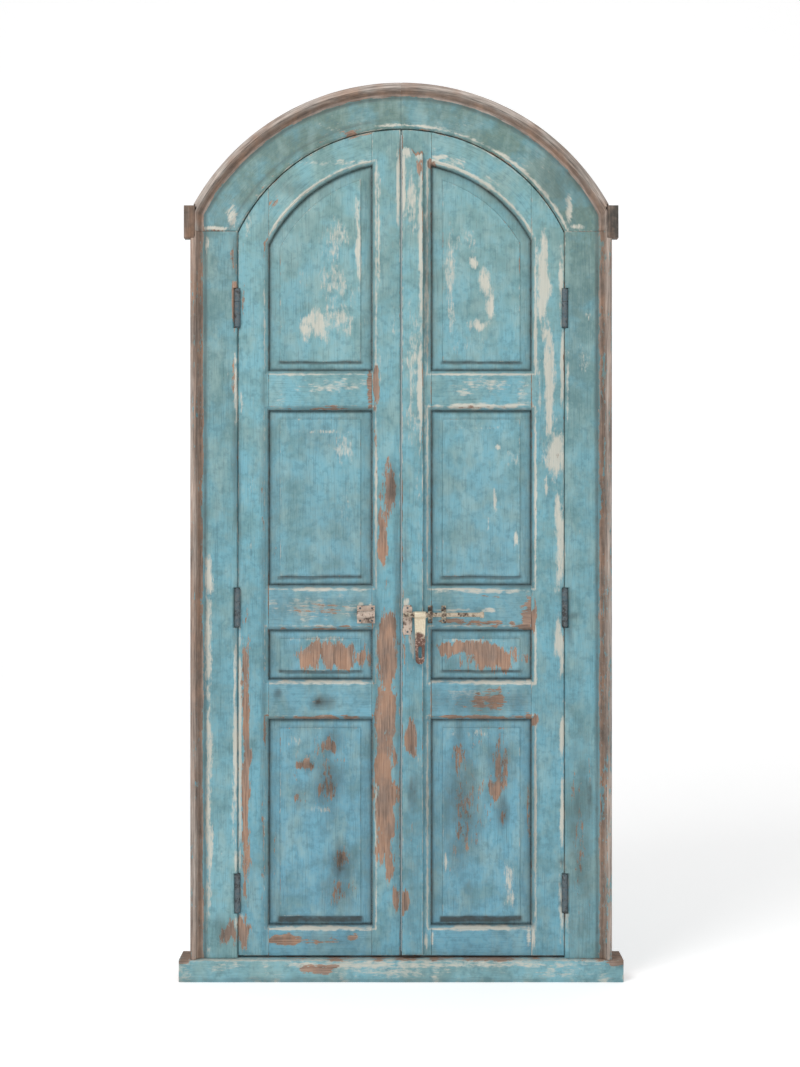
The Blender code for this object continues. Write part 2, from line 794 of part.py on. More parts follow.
def build_hasp(brass, parent):
    centre = (HASP_PLACE, BOLT_Y, BOLT_HEIGHT)
    hang = BOLT_RADIUS + HASP_CLEARANCE + HASP_WALL / 2
    slot = []
    slot_bottom = SLOT_END_MARGIN + SLOT_WIDTH / 2 - HASP_LENGTH
    slot_top = slot_bottom + SLOT_LENGTH - SLOT_WIDTH
    for step in range(9):
        turn = math.pi * step / 8
        slot.append((SLOT_WIDTH / 2 * math.cos(turn), slot_top + SLOT_WIDTH / 2 * math.sin(turn)))
    for step in range(9):
        turn = math.pi * step / 8
        slot.append((-SLOT_WIDTH / 2 * math.cos(turn), slot_bottom - SLOT_WIDTH / 2 * math.sin(turn)))
    tongue = rounded_bar(HASP_LENGTH, HASP_WIDTH / 2, HASP_END_WIDTH / 2)
    tongue = [(x, z - hang if z == 0 else z) for x, z in tongue]
    hasp = plate("hasp", tongue, HASP_THICKNESS, centre, hole=slot)
    lying = (0, math.pi / 2, 0)
    knuckle = as_cutter(cylinder("join_hasp_knuckle", HASP_RADIUS, HASP_WIDTH, centre, lying))
    bore_radius = BOLT_RADIUS + HASP_CLEARANCE
    bore = as_cutter(cylinder("cut_hasp_bore", bore_radius, 2 * HASP_WIDTH, centre, lying))
    combine(hasp, [knuckle], "UNION")
    combine(hasp, [bore])
    dress(hasp, brass, parent)


def build_wear_plate(iron, parent):
    front = LEAF_FRONT - 2 * GAP - STRIP_THICKNESS
    top = BOLT_HEIGHT + WEAR_PLATE_HEIGHT / 2 - WEAR_PLATE_DROP
    start = MEETING_GAP / 2 + WEAR_PLATE_SETBACK
    wear_plate = box(
        "wear_plate",
        (start, start + WEAR_PLATE_WIDTH),
        (front - WEAR_PLATE_THICKNESS, front),
        (top - WEAR_PLATE_HEIGHT, top),
    )
    dress(wear_plate, iron, parent)


parts, cutters = start_scene()

green_paint = finish("green_paint", (0.17, 0.36, 0.33), 0.6, 0)
blue_paint = finish("blue_paint", (0.11, 0.33, 0.43), 0.6, 0)
bare_wood = finish("bare_wood", (0.16, 0.09, 0.06), 0.8, 0)
iron = finish("iron", (0.09, 0.07, 0.06), 0.7, 0.6)
brass = finish("worn_brass", (0.60, 0.50, 0.36), 0.5, 0.5)

jamb_pockets = {leaf.name: hinge_pockets(leaf, towards_leaf=False) for leaf in LEAVES}
build_frame(green_paint, bare_wood, jamb_pockets)

leaf_arch = shrink(frame_arches()[1], SIDE_GAP)
hinge_lines = {}
for leaf in LEAVES:
    hinge_line = axis_empty(
        f"{leaf.name}_hinge_line", (leaf.side * HINGE_AXIS_X, HINGE_AXIS_Y, LEAF_BOTTOM)
    )
    hinge_lines[leaf.name] = hinge_line
    stile_pockets = hinge_pockets(leaf, towards_leaf=True)
    build_leaf(leaf, leaf_arch, green_paint, blue_paint, stile_pockets, hinge_line)
    build_hinges(leaf, iron, hinge_line)

right_leaf = hinge_lines["right"]
build_cover_strip(green_paint, right_leaf)
build_wear_plate(iron, right_leaf)
guide = strap_outline(STRAP_THICKNESS, STRAP_CLEARANCE)
keeper = strap_outline(KEEPER_THICKNESS, KEEPER_CLEARANCE)
build_strap("bolt_keeper", KEEPER_PLACE, KEEPER_WIDTH, keeper, iron, hinge_lines["left"])
build_strap("bolt_inner_guide", INNER_GUIDE_PLACE, GUIDE_WIDTH, guide, iron, right_leaf)
build_strap("bolt_outer_guide", OUTER_GUIDE_PLACE, GUIDE_WIDTH, guide, iron, right_leaf)
bolt_line = axis_empty("bolt_line", (HASP_PLACE, BOLT_Y, BOLT_HEIGHT), right_leaf)
build_bolt(iron, bolt_line)
build_hasp(brass, bolt_line)
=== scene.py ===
"""Arched double door of old painted timber, with its frame, hinges, sliding bolt and hasp."""

import json
import math
from collections import namedtuple

import bmesh
import bpy
import numpy as np
from mathutils import Matrix, Vector


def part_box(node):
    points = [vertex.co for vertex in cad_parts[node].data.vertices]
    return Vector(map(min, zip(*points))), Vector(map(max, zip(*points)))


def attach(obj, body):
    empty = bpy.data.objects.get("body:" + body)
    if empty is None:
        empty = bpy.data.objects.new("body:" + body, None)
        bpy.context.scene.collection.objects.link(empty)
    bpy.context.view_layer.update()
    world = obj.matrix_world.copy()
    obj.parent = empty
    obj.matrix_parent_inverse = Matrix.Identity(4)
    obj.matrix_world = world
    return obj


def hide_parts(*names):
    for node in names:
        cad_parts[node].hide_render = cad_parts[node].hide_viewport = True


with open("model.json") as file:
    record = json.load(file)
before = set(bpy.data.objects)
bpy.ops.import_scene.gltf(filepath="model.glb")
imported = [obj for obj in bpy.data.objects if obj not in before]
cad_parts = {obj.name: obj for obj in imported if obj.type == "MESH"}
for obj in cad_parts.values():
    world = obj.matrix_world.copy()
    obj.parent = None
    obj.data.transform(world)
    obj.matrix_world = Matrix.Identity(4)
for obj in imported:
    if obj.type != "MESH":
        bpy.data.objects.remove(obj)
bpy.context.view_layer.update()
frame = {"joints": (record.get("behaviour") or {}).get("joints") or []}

# Camera
# It looks level along +Y from chest height, four and a half metres in front of the frame,
# and the picture's height takes in 2.85 m there.
RIM_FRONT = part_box("head_left")[0].y
CAMERA_DISTANCE = 4.5
CAMERA_HEIGHT = 1.196
CAMERA_SIDE = -0.003
VIEW_HEIGHT = 2.845
SENSOR_HEIGHT = 36.0
lens = bpy.data.cameras.new("front_camera")
lens.sensor_fit = "VERTICAL"
lens.sensor_height = SENSOR_HEIGHT
lens.lens = SENSOR_HEIGHT * CAMERA_DISTANCE / VIEW_HEIGHT
camera = bpy.data.objects.new("front_camera", lens)
camera.location = (CAMERA_SIDE, RIM_FRONT - CAMERA_DISTANCE, CAMERA_HEIGHT)
camera.rotation_euler = (math.pi / 2, 0, 0)
bpy.context.scene.collection.objects.link(camera)
bpy.context.scene.camera = camera

# Floor, backdrop and light
# White paper hangs far behind the door and runs out under it, so there is room to walk round.
# A large soft lamp stands high on the left in front, a weaker one on the right, in a pale room.
PAPER_BEHIND = 7.0
PAPER_FRONT = -9.0
PAPER_HALF = 9.0
PAPER_TOP = 7.0
PAPER_BEND = 1.0
PAPER_BEND_STEPS = 8
PAPER_COLOUR = (0.93, 0.93, 0.93, 1)
PAPER_GLOW = 0.30
ROOM_COLOUR = (1.0, 1.0, 1.0, 1)
ROOM_STRENGTH = 0.56
LAMPS = [
    ("key_lamp", (-2.0, -3.1, 4.6), (0.0, 0.0, 1.15), 2.2, 118),
    ("fill_lamp", (2.6, -4.4, 1.5), (0.0, 0.0, 1.0), 3.0, 30),
]


def lay_paper():
    section = [(PAPER_FRONT, 0.0)]
    for step in range(PAPER_BEND_STEPS + 1):
        turn = math.pi / 2 * step / PAPER_BEND_STEPS
        section.append((
            PAPER_BEHIND - PAPER_BEND + PAPER_BEND * math.sin(turn),
            PAPER_BEND - PAPER_BEND * math.cos(turn),
        ))
    section.append((PAPER_BEHIND, PAPER_TOP))
    points = [(side * PAPER_HALF, y, z) for y, z in section for side in (-1, 1)]
    faces = [(2 * k, 2 * k + 1, 2 * k + 3, 2 * k + 2) for k in range(len(section) - 1)]
    mesh = bpy.data.meshes.new("paper")
    mesh.from_pydata(points, [], faces)
    mesh.shade_smooth()
    matt = bpy.data.materials.new("white_paper")
    matt.use_nodes = True
    shader = matt.node_tree.nodes["Principled BSDF"]
    shader.inputs["Base Color"].default_value = PAPER_COLOUR
    shader.inputs["Roughness"].default_value = 0.95
    shader.inputs["Specular IOR Level"].default_value = 0.1
    shader.inputs["Emission Color"].default_value = ROOM_COLOUR
    shader.inputs["Emission Strength"].default_value = PAPER_GLOW
    mesh.materials.append(matt)
    paper = bpy.data.objects.new("paper", mesh)
    bpy.context.scene.collection.objects.link(paper)


lay_paper()
world = bpy.data.worlds.new("pale_room")
world.use_nodes = True
world.node_tree.nodes["Background"].inputs["Color"].default_value = ROOM_COLOUR
world.node_tree.nodes["Background"].inputs["Strength"].default_value = ROOM_STRENGTH
bpy.context.scene.world = world
for name, place, aim, size, power in LAMPS:
    glow = bpy.data.lights.new(name, "AREA")
    glow.shape = "DISK"
    glow.size = size
    glow.energy = power
    lamp = bpy.data.objects.new(name, glow)
    lamp.location = place
    lamp.rotation_euler = (Vector(aim) - Vector(place)).to_track_quat("-Z", "Y").to_euler()
    bpy.context.scene.collection.objects.link(lamp)
bpy.context.scene.view_settings.view_transform = "Standard"

# Sill
# One squared beam under the frame, whose horns run out past the jambs, with a brown stain on the
# left and bare wood on top. A spot of wear is its middle across and up, half its width and half
# its height, all in millimetres, and its strength out of a hundred.
WEATHER_GRID = 64
SPOT_UNITS = (1000, 1000, 1000, 1000, 100)
RUBBED_REACH = 0.0035
JOINT_GAP = 0.0003
SILL_SPACING = 0.006
SILL_ROUNDING = 0.005
SILL_SPOTS = {
    "bare": [
        (-220, 36, 50, 14, 90), (300, 10, 80, 10, 45), (-580, 54, 22, 6, 100), (580, 52, 24, 8, 100),
    ],
    "grime": [
        (585, 50, 20, 10, 70), (-585, 54, 16, 6, 55), (-300, 4, 300, 8, 50), (100, 4, 420, 7, 45),
    ],
    "cream": [
        (-130, 46, 300, 10, 85), (250, 48, 280, 9, 80), (-30, 26, 200, 18, 62),
        (-480, 36, 60, 18, 55), (440, 26, 90, 16, 60),
    ],
}
DOOR_HEIGHT = 2.4
PAINT_RELIEF = 0.0007
BOARD_CREASE = math.radians(38)
# The third coat darkens the paint: real dirt, and also painted shade in hollows, creases and under steps.
Coats = namedtuple("Coats", "bare cream grime pale")


def ripple(across, along, seed, width, length):
    """Smooth seeded noise from -1 to 1, in swells of about width by length metres."""
    table = np.random.default_rng(seed).uniform(-1, 1, (WEATHER_GRID, WEATHER_GRID))
    u, v = across / width, along / length
    i, j = np.floor(u).astype(int), np.floor(v).astype(int)
    s, t = u - i, v - j
    s, t = s * s * (3 - 2 * s), t * t * (3 - 2 * t)
    i, j = i % WEATHER_GRID, j % WEATHER_GRID
    after_i, after_j = (i + 1) % WEATHER_GRID, (j + 1) % WEATHER_GRID
    low = table[i, j] * (1 - s) + table[after_i, j] * s
    high = table[i, after_j] * (1 - s) + table[after_i, after_j] * s
    return low * (1 - t) + high * t


def lines(low, high, spacing, marks=()):
    """Places from low to high, at most about spacing apart, that include the marks."""
    inside = sorted(mark for mark in marks if low + 1e-5 < mark < high - 1e-5)
    stops = [low]
    for mark in inside:
        if mark - stops[-1] > 1e-5:
            stops.append(mark)
    stops.append(high)
    places = []
    for start, end in zip(stops, stops[1:]):
        count = max(1, math.ceil((end - start) / spacing - 0.2))
        places += [start + (end - start) * step / count for step in range(count)]
    return np.array(places + [high])


def bell(value, middle, reach):
    """1 at the middle, and falling away evenly on both sides."""
    return np.exp(-((value - middle) / reach) ** 2)


def arris(low, high, reach):
    """Marks close to both ends of a run, for an edge rounded over that reach."""
    return [
        end + sense * reach * share
        for end, sense in ((low, 1), (high, -1)) for share in (0.1, 0.35, 0.7, 1.0, 2.0)
    ]


def worn_arris(edge, x, z, radius, seed):
    """How far the face drops towards an edge: rounded over, uneven, and dented here and there."""
    uneven = radius * (1 + 0.45 * ripple(x, z, seed, 0.05, 0.05))
    reach = np.clip(uneven - edge, 0, uneven)
    rounded = uneven - np.sqrt(np.maximum(uneven ** 2 - reach ** 2, 0))
    dents = np.clip(ripple(x, z, seed + 1, 0.013, 0.013) - 0.55, 0, 1)
    return rounded + 1.1 * radius * dents * np.exp(-edge / (1.5 * radius))


def wear_at(kind, spots, x, z, seed):
    """Amount of one kind of wear at each point, from ellipses with ragged outlines."""
    total = np.zeros(x.shape)
    for spot in spots.get(kind, ()):
        centre_x, centre_z, half_width, half_height, amount = np.divide(spot, SPOT_UNITS)
        u = (x - centre_x) / half_width + 0.45 * ripple(x, z, seed + 2, 0.02, 0.05)
        v = (z - centre_z) / half_height + 0.35 * ripple(x, z, seed + 3, 0.012, 0.04)
        total = np.maximum(total, amount * np.exp(-0.66 * (u * u + v * v) ** 1.15))
    return total


def weather(x, z, edge, spots, seed, bare=0.10, cream=0.15, grime=0.10, pale=0.20):
    """How far each coat has worn at each point of a face."""
    broad = 0.5 + 0.5 * ripple(x, z, seed + 4, 0.09, 0.24)
    close = 0.5 + 0.5 * ripple(x, z, seed + 5, 0.03, 0.06)
    rubbed = bell(edge, 0, RUBBED_REACH)
    everywhere = {
        "bare": bare * 1.6 * broad + 0.60 * rubbed * close,
        "cream": cream * 1.6 * close + 0.75 * rubbed * (1 - close),
        "grime": grime * 1.6 * broad,
    }
    worn = [
        np.clip(np.maximum(least, wear_at(kind, spots, x, z, seed + 10 * step)), 0, 1)
        for step, (kind, least) in enumerate(everywhere.items())
    ]
    return Coats(*worn, np.full(x.shape, pale))


def board(name, x, front, z, back, coats, grain, behind=Coats(0.42, 0.10, 0.35, 0.2)):
    """A closed board from grids over its face, with straight sides and a flat back."""
    index = np.arange(x.size).reshape(x.shape)
    rim = np.concatenate([index[:, 0], index[-1, 1:], index[-2::-1, -1], index[0, -2:0:-1]])
    face = np.stack([x, front, z], -1).reshape(-1, 3)
    ring = np.arange(len(rim)) + x.size
    rear = face[rim] * (1, 0, 1) + (0, back, 0)
    around = (rear - face[rim])[:, [1, 0, 0]] * (1, 0, 0)
    quads = np.stack([index[:-1, :-1], index[1:, :-1], index[1:, 1:], index[:-1, 1:]], -1)
    sides = np.stack([rim, ring, np.roll(ring, -1), np.roll(rim, -1)], -1)
    faces = quads.reshape(-1, 4).tolist() + sides.tolist() + [ring[::-1].tolist()]
    mesh = bpy.data.meshes.new(name)
    mesh.from_pydata(np.concatenate([face, rear]).tolist(), [], faces)
    work = bmesh.new()
    work.from_mesh(mesh)
    bmesh.ops.recalc_face_normals(work, faces=work.faces)
    work.to_mesh(mesh)
    work.free()
    for title, front_value, rear_value in zip(Coats._fields, coats, behind):
        layer = mesh.attributes.new(title, "FLOAT", "POINT")
        values = np.concatenate([front_value.reshape(-1), np.full(len(rim), rear_value)])
        layer.data.foreach_set("value", values.astype(np.float32))
    run = np.stack([np.broadcast_to(part, x.shape) for part in grain], -1).reshape(-1, 3)
    layer = mesh.attributes.new("grain", "FLOAT_VECTOR", "POINT")
    run = np.concatenate([run, run[rim] + around])
    layer.data.foreach_set("vector", run.astype(np.float32).ravel())
    mesh.shade_smooth()
    mesh.set_sharp_from_angle(angle=BOARD_CREASE)
    item = bpy.data.objects.new(name, mesh)
    bpy.context.scene.collection.objects.link(item)
    return item


class Amount:
    """A number that varies over a surface. Arithmetic on it adds Math nodes to its recipe."""

    def __init__(self, recipe, socket):
        self.recipe = recipe
        self.socket = socket

    def maths(self, operation, *values):
        made = self.recipe.node(
            "ShaderNodeMath", {"operation": operation}, dict(enumerate(values))
        )
        return Amount(self.recipe, made.outputs[0])

    def __add__(self, other):
        return self.maths("ADD", self, other)

    def __radd__(self, other):
        return self.maths("ADD", other, self)

    def __sub__(self, other):
        return self.maths("SUBTRACT", self, other)

    def __rsub__(self, other):
        return self.maths("SUBTRACT", other, self)

    def __mul__(self, other):
        return self.maths("MULTIPLY", self, other)

    def __truediv__(self, other):
        return self.maths("DIVIDE", self, other)

    def above(self, level, softness):
        """0 below a level and 1 above it, with a soft step between."""
        return ((self - level) / softness + 0.5).clipped()

    def clipped(self):
        made = self.recipe.node("ShaderNodeClamp", {}, {"Value": self})
        return Amount(self.recipe, made.outputs[0])


class Recipe:
    """The nodes of one material, with the shortcuts that its makers below need."""

    def __init__(self, name):
        self.material = bpy.data.materials.new(name)
        self.material.use_nodes = True
        self.nodes = self.material.node_tree.nodes
        self.links = self.material.node_tree.links
        self.shader = self.nodes["Principled BSDF"]
        self.place = self.node("ShaderNodeTexCoord", {}, {}).outputs["Object"]

    def feed(self, socket, value):
        if isinstance(value, Amount):
            value = value.socket
        if isinstance(value, bpy.types.NodeSocket):
            self.links.new(value, socket)
        elif isinstance(value, tuple) and socket.type == "RGBA":
            socket.default_value = (*value, 1)
        else:
            socket.default_value = value

    def node(self, kind, settings, sockets):
        made = self.nodes.new(kind)
        for key, value in settings.items():
            if key == "stops":
                ramp = made.color_ramp
                while len(ramp.elements) < len(value):
                    ramp.elements.new(0.5)
                for element, (place, colour) in zip(ramp.elements, value):
                    element.position = place
                    element.color = (*colour, 1)
            else:
                setattr(made, key, value)
        for key, value in sockets.items():
            self.feed(made.inputs[key], value)
        return made

    def stored(self, name):
        made = self.node("ShaderNodeAttribute", {"attribute_name": name}, {})
        return Amount(self, made.outputs["Fac"])

    def height(self):
        made = self.node("ShaderNodeSeparateXYZ", {}, {0: self.place})
        return Amount(self, made.outputs["Z"])

    def stretched(self, vector, scale):
        made = self.node("ShaderNodeVectorMath", {"operation": "MULTIPLY"}, {0: vector, 1: scale})
        return made.outputs[0]

    def noise(self, vector, scale, detail=3.0, roughness=0.55):
        made = self.node(
            "ShaderNodeTexNoise", {},
            {"Vector": vector, "Scale": scale, "Detail": detail, "Roughness": roughness},
        )
        return Amount(self, made.outputs["Fac"])

    def mixed(self, share, below, above):
        made = self.node("ShaderNodeMix", {"data_type": "RGBA"}, {0: share, 6: below, 7: above})
        return made.outputs[2]

    def finish(self, colour, roughness, height, depth):
        """Joins the results to the shader. Height is a share of depth, which is in metres."""
        self.feed(self.shader.inputs["Base Color"], colour)
        self.feed(self.shader.inputs["Roughness"], roughness)
        bump = self.node("ShaderNodeBump", {}, {"Strength": 1.0, "Distance": depth, "Height": height})
        self.feed(self.shader.inputs["Normal"], bump.outputs[0])
        return self.material


def painted_timber(name, heights):
    """Old paint on brown wood over a cream coat; heights give the paint's colour up the door."""
    mix = Recipe(name)
    grain = mix.node("ShaderNodeAttribute", {"attribute_name": "grain"}, {}).outputs["Vector"]
    hairs = mix.noise(mix.stretched(grain, (640.0, 17.0, 1.0)), 1.0, 3.0, 0.6)
    streaks = mix.noise(mix.stretched(grain, (190.0, 6.5, 1.0)), 1.0, 4.0, 0.62)
    flakes = mix.noise(mix.stretched(grain, (210.0, 52.0, 3.0)), 1.0, 5.0, 0.68)
    islands = mix.noise(mix.stretched(grain, (52.0, 14.0, 5.0)), 1.0, 3.0, 0.6)
    clouds = mix.noise(mix.place, 2.8, 3.0, 0.6)
    smears = mix.noise(mix.place, 12.0, 4.0, 0.64)
    mottle = mix.noise(mix.place, 52.0, 4.0, 0.66)
    veils = mix.noise(mix.stretched(mix.place, (1.0, 1.0, 0.4)), 26.0, 4.0, 0.62)
    worn = flakes * 0.42 + islands * 0.30 + streaks * 0.28

    bare_limit = 0.760 - mix.stored("bare") * 0.44
    bare = worn.above(bare_limit, 0.030)
    chipped = worn.above(bare_limit - 0.014, 0.020)
    cream_limit = 0.735 - mix.stored("cream") * 0.37
    scuffed = (flakes * 0.40 + hairs * 0.22 + islands * 0.20 + mottle * 0.18).above(cream_limit, 0.12)
    cream = (chipped * 0.45 + scuffed * 0.84).clipped()

    share_up = mix.height() / DOOR_HEIGHT + (clouds - 0.5) * 0.5
    ramp = mix.node("ShaderNodeValToRGB", {"stops": heights}, {0: share_up})
    paint = mix.mixed(smears.above(0.55, 0.20) * 0.56, ramp.outputs[0], (0.115, 0.225, 0.220))
    paint = mix.mixed((1 - smears.above(0.45, 0.18)) * 0.42, paint, (0.165, 0.430, 0.530))
    paint = mix.mixed(veils.above(0.57, 0.17) * 0.36, paint, (0.340, 0.470, 0.440))
    paint = mix.mixed(mottle.above(0.57, 0.18) * 0.24, paint, (0.270, 0.410, 0.400))
    paint = mix.mixed((1 - mottle.above(0.43, 0.12)) * 0.36, paint, (0.070, 0.170, 0.195))
    paint = mix.mixed((hairs * 3.4 - 1.75).clipped() * 0.60, paint, (0.038, 0.098, 0.112))
    paint = mix.mixed((streaks * 3.2 - 1.70).clipped() * 0.50, paint, (0.055, 0.150, 0.185))
    under = mix.mixed(streaks, (0.400, 0.400, 0.350), (0.800, 0.740, 0.620))
    lines_of_wood = (hairs * 0.5 + streaks * 0.5).above(0.50, 0.30)
    dark_wood = mix.mixed(lines_of_wood, (0.088, 0.050, 0.036), (0.405, 0.240, 0.155))
    dark_wood = mix.mixed(veils.above(0.53, 0.16) * 0.55, dark_wood, (0.445, 0.220, 0.115))
    dark_wood = mix.mixed(smears.above(0.56, 0.18) * 0.50, dark_wood, (0.120, 0.085, 0.070))
    grey_wood = mix.mixed(lines_of_wood, (0.170, 0.135, 0.115), (0.640, 0.560, 0.500))
    wood = mix.mixed(mix.stored("pale"), dark_wood, grey_wood)
    colour = mix.mixed(cream, paint, under)
    colour = mix.mixed(bare, colour, wood)
    # Painted shade: the third coat darkens the colour towards near-black; it holds real dirt and also
    # shade painted into hollows, creases and under steps.
    dirt_and_shade = (mix.stored("grime") * (0.25 + mottle * 1.3)).clipped()
    colour = mix.mixed(dirt_and_shade * 0.90, colour, (0.034, 0.036, 0.032))
    roughness = 0.50 + mottle * 0.16 + bare * 0.22 + dirt_and_shade * 0.10
    height = (1 - chipped) * 0.45 + (1 - bare) * 0.35 + hairs * 0.25 + mottle * 0.22
    return mix.finish(colour, roughness, height, PAINT_RELIEF)


FRAME_PAINT = painted_timber("frame_paint", [
    (0.02, (0.215, 0.425, 0.475)),
    (0.30, (0.145, 0.345, 0.415)),
    (0.60, (0.150, 0.330, 0.375)),
    (0.80, (0.132, 0.236, 0.236)),
    (0.94, (0.128, 0.200, 0.160)),
])


def painted(item, node, body, paint):
    """Paints a finished board and lets it stand for its node."""
    item.data.materials.append(paint)
    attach(item, body)
    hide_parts(node)


def make_sill():
    low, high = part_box("sill")
    across = lines(low.x, high.x, SILL_SPACING, arris(low.x, high.x, SILL_ROUNDING))
    up = lines(low.z, high.z, SILL_SPACING, arris(low.z, high.z, SILL_ROUNDING))
    x, z = np.meshgrid(across, up, indexing="ij")
    edge = np.minimum.reduce([x - low.x, high.x - x, high.z - z, z - low.z + SILL_ROUNDING])
    front = low.y + worn_arris(edge, x, z, SILL_ROUNDING, 11) * 0.9
    front = front + 0.0006 * (1 + ripple(x, z, 12, 0.12, 0.03))
    coats = weather(x, z, edge, SILL_SPOTS, 13, bare=0.16, cream=0.40, pale=0.30)
    worn_top = Coats(0.95, 0.05, 0.45, 0.15)
    item = board("sill_timber", x, front, z, high.y, coats, (z, x, 0.0), worn_top)
    painted(item, "sill", "frame", FRAME_PAINT)


make_sill()

# Jambs
# Two posts that stand on the sill, with a raised bare rim down the outer edge: a rounded list,
# a small fillet and a cove that runs down to the painted face. Knuckle pockets are cut in the edge.
FACE_SPACING = 0.0045
POST_SPACING = 0.0075
RIM_WIDTH = 0.038
RIM_PROJECTION = 0.018
RIM_LIST = 0.015
RIM_ROUNDING = 0.007
RIM_FILLET = 0.002
RIM_BARE_TO = 0.0350
# The rim's cove and the face along its foot are darkened with painted shade; these give the middle and
# reach of each.
RIM_COVE = (0.0250, 0.0080)
RIM_FOOT = (0.0385, 0.0065)
RIM_EDGE = (0, 0.0035)
STOP_WIDTH = 0.012
FACE_CHAMFER = 0.004
SIDE_GAP = 0.003
POCKET_CLEARANCE = 0.0007
HINGE_PLACES = ("lower", "middle", "upper")
HINGE_JOINT = next(joint for joint in frame["joints"] if joint["name"] == "right_leaf_hinge")
HINGE_X, HINGE_Y = HINGE_JOINT["pos_m"][0], HINGE_JOINT["pos_m"][1]
HINGE_RADIUS = HINGE_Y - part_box("right_lower_hinge_leaf_half")[0].y
FRAME_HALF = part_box("jamb_right")[1].x
OPENING_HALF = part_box("jamb_right")[0].x + STOP_WIDTH
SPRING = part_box("head_right")[0].z
JAMB_SPOTS = {
    "left": {
        "cream": [
            (-517, 1083, 14, 55, 100), (-516, 450, 10, 340, 85), (-517, 900, 12, 200, 80),
            (-520, 1966, 8, 30, 60), (-443, 1570, 7, 90, 90), (-444, 650, 6, 330, 100),
            (-450, 430, 8, 110, 66), (-480, 345, 14, 14, 55), (-444, 148, 10, 22, 85),
        ],
        "bare": [
            (-447, 1815, 9, 75, 100), (-450, 1930, 7, 60, 66), (-449, 1600, 6, 110, 62),
            (-458, 130, 30, 40, 80),
        ],
        "grime": [
            (-445, 1390, 7, 140, 62), (-445, 1940, 10, 60, 50), (-474, 130, 20, 34, 45),
            (-443, 970, 6, 90, 60),
        ],
    },
    "right": {
        "bare": [(476, 340, 26, 230, 50), (500, 560, 12, 120, 48), (462, 520, 10, 80, 55)],
        "cream": [
            (446, 1600, 5, 120, 62), (447, 200, 6, 110, 72), (491, 1665, 18, 50, 52),
            (500, 1780, 10, 12, 60),
        ],
        "grime": [
            (448, 965, 8, 80, 60), (453, 976, 18, 8, 70), (480, 340, 38, 280, 55),
            (500, 500, 12, 40, 72), (470, 470, 10, 50, 66),
        ],
    },
}
RIM_LOOK = {"left": (0.76, 0.66, 0.27), "right": (0.70, 0.80, 0.34)}


def rim_drop(inset):
    """Depth of the frame's front behind the top of its rim, by distance from the outer edge."""
    reach = np.clip(RIM_ROUNDING - inset, 0, RIM_ROUNDING)
    rounded = RIM_ROUNDING - np.sqrt(RIM_ROUNDING ** 2 - reach ** 2)
    share = np.clip((RIM_WIDTH - inset) / (RIM_WIDTH - RIM_LIST), 0, 1)
    cove = RIM_FILLET + (RIM_PROJECTION - RIM_FILLET) * np.sqrt(1 - share ** 2)
    return np.where(inset <= RIM_LIST + 1e-6, rounded, cove)


def rim_marks():
    """Distances from the outer edge where the rim's section turns."""
    marks = [RIM_ROUNDING * share for share in (0.03, 0.12, 0.28, 0.5, 0.75, 1.0)]
    marks += [RIM_LIST, RIM_LIST + 0.0003]
    cove = RIM_WIDTH - RIM_LIST
    marks += [RIM_WIDTH - cove * math.cos(math.radians(turn)) for turn in (12, 24, 36, 48, 60, 72, 81)]
    return marks + [RIM_WIDTH]


def rim_coats(coats, inset, x, z, look, pale, seed):
    """The rim has lost most of its paint. Its cove and the face along its foot are darkened with painted
    shade and some dirt.
    """
    ragged = inset + 0.0016 * ripple(x, z, seed, 0.02, 0.05)
    rim = 1 / (1 + np.exp((ragged - RIM_BARE_TO) / 0.0012))
    cove = bell(inset, *RIM_COVE)
    outer = bell(inset, *RIM_EDGE) * (0.5 + 0.5 * ripple(x, z, seed + 1, 0.05, 0.12))
    bare, pale_most, dirt_and_shade = look
    pale = pale_most + pale
    dark = dirt_and_shade * (1 + ripple(x, z, seed + 2, 0.03, 0.16)) * rim
    # Painted shade: the cove keeps less cream and has darker wood, and the cove and the face at the rim's
    # foot get a heavy third coat.
    return Coats(
        np.maximum(coats.bare * (1 - rim), rim * bare),
        np.where(rim > 0.5, 0.35 * (1 - cove), coats.cream),
        np.maximum.reduce([
            coats.grime, 0.62 * cove, 0.74 * bell(inset, *RIM_FOOT), 0.50 * outer, dark
        ]),
        np.where(rim > 0.5, np.clip(pale * (1 - 0.8 * cove) - 0.2 * outer, 0, 1), coats.pale),
    )


def notched(front, x, z, side):
    """Cuts the frame back where a cleat is let into it."""
    low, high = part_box(f"cleat_{side}")
    inner = min(abs(low.x), abs(high.x)) - JOINT_GAP
    inside = (np.abs(x) > inner) & (z > low.z - JOINT_GAP) & (z < high.z + JOINT_GAP)
    return np.where(inside, high.y + JOINT_GAP, front)


def hinge_heights(side):
    """Middle of each pair of knuckles, and half the length of its pocket."""
    found = []
    for place in HINGE_PLACES:
        low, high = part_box(f"{side}_{place}_hinge_pin")
        found.append(((low.z + high.z) / 2, (high.z - low.z) / 2 + JOINT_GAP))
    return found


def pocket_marks(side):
    """Lines that close off the pockets, as x and z marks."""
    radius = HINGE_RADIUS + POCKET_CLEARANCE
    sense = -1 if side == "left" else 1
    shares = (-1.0, -0.9, -0.7, -0.4, 0.4, 0.7, 0.9, 1.0)
    across = [sense * (HINGE_X + radius * share) for share in shares]
    up = []
    for height, half in hinge_heights(side):
        up += [height + sense_z * (half + nudge) for sense_z in (-1, 1) for nudge in (0.0, 0.0004)]
    return across, up


def cut_pockets(front, x, z, side):
    """Cuts the knuckles' round pockets into a face."""
    radius = HINGE_RADIUS + POCKET_CLEARANCE
    offset = np.clip(np.abs(x) - HINGE_X, -radius, radius)
    floor = HINGE_Y + np.sqrt(radius ** 2 - offset ** 2)
    for height, half in hinge_heights(side):
        inside = (np.abs(z - height) <= half + 0.0001) & (np.abs(np.abs(x) - HINGE_X) < radius)
        front = np.where(inside, np.maximum(front, floor), front)
    return front


